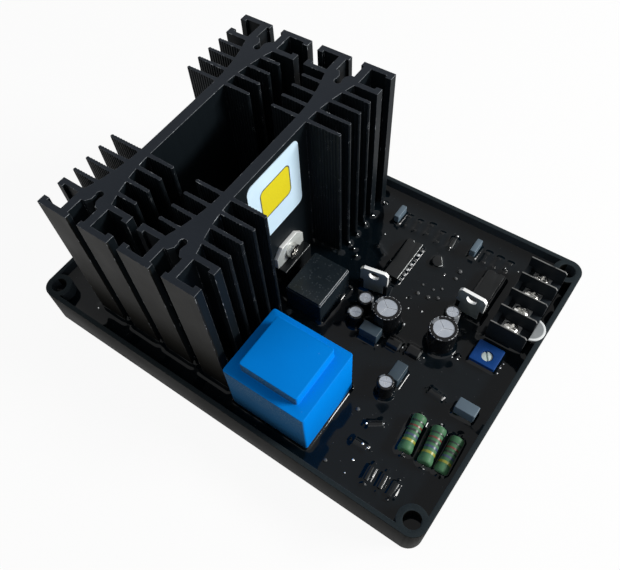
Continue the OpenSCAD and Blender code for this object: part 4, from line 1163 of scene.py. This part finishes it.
def dust_maker():
    g = Maker("dust_maker", Density="Float", Size="Float", Seed="Int", Coat="Material")
    normal = g.node("GeometryNodeInputNormal")
    upward = g.other(g.node("ShaderNodeSeparateXYZ", {}, {0: normal}), "Z") > 0.97
    spread = g.node("GeometryNodeDistributePointsOnFaces", {}, {
        "Mesh": g.start, "Selection": upward, "Density": g.given("Density"), "Seed": g.given("Seed")})
    grain = g.node("GeometryNodeMeshIcoSphere", {}, {"Radius": 1.0, "Subdivisions": 1})
    size = g.chance(0.4, 1.3) * g.given("Size")
    spin = g.node("FunctionNodeRandomValue", {"data_type": "FLOAT_VECTOR"},
                  {0: (0, 0, 0), 1: (0, 0, 6.28), "Seed": g.given("Seed")})
    return g.ends(grain, spread, Scale=g.vector(size * 1.3, size, size * 0.5), Rotation=spin)


# Places in millimetres
# Bright metal beads: partly solder at lead ends, partly beads that stand in for glints on the resin (painted
# highlights), such as those at the heatsink's fin feet.
BEADS_AND_GLINT_DOTS = (
    (47.2, -33.4), (51.8, -30.3), (50.0, -39.9), (51.9, -40.2), (50.2, -45.8), (50.4, -50.8), (33.1, 15.0),
    (35.9, 11.6), (38.2, 4.8), (40.6, 13.0), (42.5, -3.4), (58.0, 3.0), (59.8, 3.3), (39.5, 30.7),
    (56.4, 44.4), (60.8, 46.3), (14.9, 7.4), (11.6, 35.2), (73.1, 8.1), (73.3, 10.0), (73.2, 5.8),
    (3.3, 47.8), (3.3, 39.8), (3.1, 34.7), (3.3, 28.9), (5.8, 22.8), (8.3, 20.6), (2.9, 23.8),
    (-58.4, -50.4), (35.4, 42.3), (35.1, 48.6),
)
BLOBS = (
    (35.4, 18.9), (35.1, 23.1), (39.4, 19.3), (39.3, 23.2), (42.4, 20.8), (41.7, 25.1), (39.3, 31.2),
    (43.6, 31.7), (43.4, 35.2), (42.1, -30.6), (43.1, -50.9),
)
BEAD_LIFT = 0.1 * MM
BEAD = bead_maker()
skin = BVHTree.FromPolygons([v.co for v in resin.data.vertices],
                            [tuple(p.vertices) for p in resin.data.polygons])


def resin_top(x, y):
    """Level of the resin's surface at a place."""
    hit = skin.ray_cast(Vector((x, y, 0.1)), Vector((0, 0, -1)))[0]
    return hit.z if hit else POT_LEVEL


def joints(name, spots, size, slot, coat):
    places = [(x * MM, y * MM) for x, y in spots]
    base = mesh_from(name, [(x, y, resin_top(x, y) + BEAD_LIFT) for x, y in places])
    piece = BEAD.made(name, base, Size=size, Flatness=0.75, Seed=4, Coat=coat)
    piece.data.shade_smooth()
    join(piece, MODULE, slot, None)


joints("lead_end_beads", BEADS_AND_GLINT_DOTS, 0.42 * MM, "tinned_wire", beads_coat)
joints("coated_joints", BLOBS, 0.75 * MM, "potting_resin", blobs_coat)
dust = dust_maker().made("resin_dust", resin.data, Density=26000.0, Size=0.075 * MM, Seed=11,
                         Coat=dust_coat)
join(dust, MODULE, "potting_resin", None)


# Terminal screws: pan heads with a cross recess on round washers

def screw_mesh(head_r, head_h, shank_r, shank_l, washer_r, washer_t):
    outline = [(0.0, -shank_l), (shank_r, -shank_l), (shank_r, 0.0), (washer_r, 0.0), (washer_r, washer_t),
               (head_r, washer_t), (head_r, washer_t + 0.3 * head_h)]
    for k in range(1, 8):
        a = math.radians(90 * k / 8)
        outline.append((head_r * math.cos(a) ** 0.75, washer_t + head_h * (0.3 + 0.7 * math.sin(a))))
    outline.append((0.0, washer_t + head_h))
    return mesh_from("screw", *turned(outline, 40))


def recess_mesh(reach, width, depth, top):
    work = bmesh.new()
    for turn in (0, 90):
        bar = bmesh.ops.create_cube(work, size=1.0)["verts"]
        bmesh.ops.scale(work, verts=bar, vec=(2 * reach, width, 2 * depth))
        bmesh.ops.translate(work, verts=bar, vec=(0, 0, top))
        bmesh.ops.rotate(work, verts=bar, cent=(0, 0, 0), matrix=Matrix.Rotation(math.radians(turn), 3, "Z"))
    mesh = bpy.data.meshes.new("recess")
    work.to_mesh(mesh)
    work.free()
    return mesh


def screw_maker():
    g = Maker("screw_maker", Screw="Object", Recess="Object", Lean="Float", Seed="Int", Coat="Material")
    body = g.node("GeometryNodeObjectInfo", {}, {"Object": g.given("Screw")}, out="Geometry")
    cross = g.node("GeometryNodeObjectInfo", {}, {"Object": g.given("Recess")}, out="Geometry")
    cut = g.node("GeometryNodeMeshBoolean", {"operation": "DIFFERENCE", "solver": "EXACT"},
                 {"Mesh 1": body, "Mesh 2": cross, "Self Intersection": True})
    lean = g.chance(-1.0, 1.0) * g.given("Lean")
    return g.ends(cut, Rotation=g.vector(lean, g.given("Lean"), g.chance(0.0, 1.57)))


TERMINAL_POLES = 4
TERMINAL_PITCH = 7.62 * MM
HEAD_HEIGHT = 2.0 * MM
SHANK_RADIUS = 1.45 * MM
WASHER = 0.26 * MM
RECESS_WIDTH = 0.75 * MM
RECESS_DEPTH = 0.9 * MM


def terminal_screws():
    low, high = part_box("terminal_screws")
    x, y = (low.x + high.x) / 2, (low.y + high.y) / 2
    radius, seat = (high.x - low.x) / 2, high.z - HEAD_HEIGHT
    shape = screw_mesh(radius * 0.92, HEAD_HEIGHT * 1.05, SHANK_RADIUS, seat - low.z, radius * 0.99, WASHER)
    screw = placed("screw_pattern", shape)
    recess = placed("recess_pattern", recess_mesh(radius * 0.55, RECESS_WIDTH, RECESS_DEPTH, HEAD_HEIGHT))
    middle_pole = (TERMINAL_POLES - 1) / 2
    spots = [(x, y + (k - middle_pole) * TERMINAL_PITCH, seat) for k in range(TERMINAL_POLES)]
    base = mesh_from("screw_spots", spots)
    piece = screw_maker().made("terminal_screw_set", base, Screw=screw, Recess=recess, Lean=0.025, Seed=3,
                               Coat=COATS["zinc_steel"])
    for pattern in (screw, recess):
        bpy.data.objects.remove(pattern)
    set_smooth(piece.data, 40)
    join(piece, MODULE, "zinc_steel", None, "terminal_screws")


terminal_screws()


# Floor, light and camera

FLOOR_REACH = 3.0
FLOOR_DROP = 0.0002
AMBIENT = 0.34


def stage_floor():
    m = Finish("pale_floor")
    matt = m.node("ShaderNodeBsdfDiffuse", {}, {"Color": (0.82, 0.82, 0.82)})
    glow = m.node("ShaderNodeEmission", {}, {"Color": (1.0, 1.0, 1.0), "Strength": 1.0})
    bright = m.node("ShaderNodeMixShader", {}, {0: 0.93, 1: matt, 2: glow})
    floor = m.node("ShaderNodeMixShader", {}, {0: m.seen(), 1: matt, 2: bright})
    m.node("ShaderNodeOutputMaterial", {}, {"Surface": floor})
    r, z = FLOOR_REACH, -FLOOR_DROP
    mesh = mesh_from("floor", [(-r, -r, z), (r, -r, z), (r, r, z), (-r, r, z)], [(0, 1, 2, 3)])
    mesh.materials.append(m.material)
    new_piece("floor", mesh)


def stage_world():
    world = bpy.data.worlds.new("pale_room")
    world.use_nodes = True
    g = Graph(world.node_tree)
    strength = AMBIENT + (1.0 - AMBIENT) * g.seen()
    light = g.node("ShaderNodeBackground", {}, {"Color": (1.0, 1.0, 1.0), "Strength": strength})
    g.node("ShaderNodeOutputWorld", {}, {"Surface": light})
    bpy.context.scene.world = world


def area_lamp(name, towards, distance, size, power, colour):
    lamp = bpy.data.lights.new(name, "AREA")
    lamp.shape = "RECTANGLE"
    lamp.size, lamp.size_y = size
    lamp.energy = power
    lamp.color = colour
    holder = placed(name, lamp)
    direction = Vector(towards).normalized()
    holder.location = direction * distance + Vector((0.0, 0.0, 0.02))
    holder.rotation_euler = direction.to_track_quat("Z", "Y").to_euler()


def stage_camera():
    right = Vector((0.8084631910713869, 0.5843130065188161, -0.0704668652319066))
    down = Vector((0.4868620014916137, -0.7312445193707346, -0.47775186487740945))
    ahead = Vector((-0.3306851375345583, 0.35193715817345067, -0.8756640774352602))
    lens = bpy.data.cameras.new("camera")
    lens.sensor_fit = "HORIZONTAL"
    lens.sensor_width = 36.0
    lens.lens = 36.263
    lens.shift_x = 0.02866
    lens.shift_y = 0.09313
    lens.clip_start = 0.01
    camera = placed("camera", lens)
    pose = Matrix((right, -down, -ahead)).transposed().to_4x4()
    eye = Vector((81.699, -99.102, 202.724)) * MM
    camera.matrix_world = Matrix.Translation(eye) @ pose
    bpy.context.scene.camera = camera


stage_floor()
stage_world()
area_lamp("window", (0.80, 0.43, 0.46), 0.85, (0.36, 0.11), 8.4, (1.0, 0.985, 0.96))
stage_camera()
bpy.context.scene.view_settings.view_transform = "Standard"
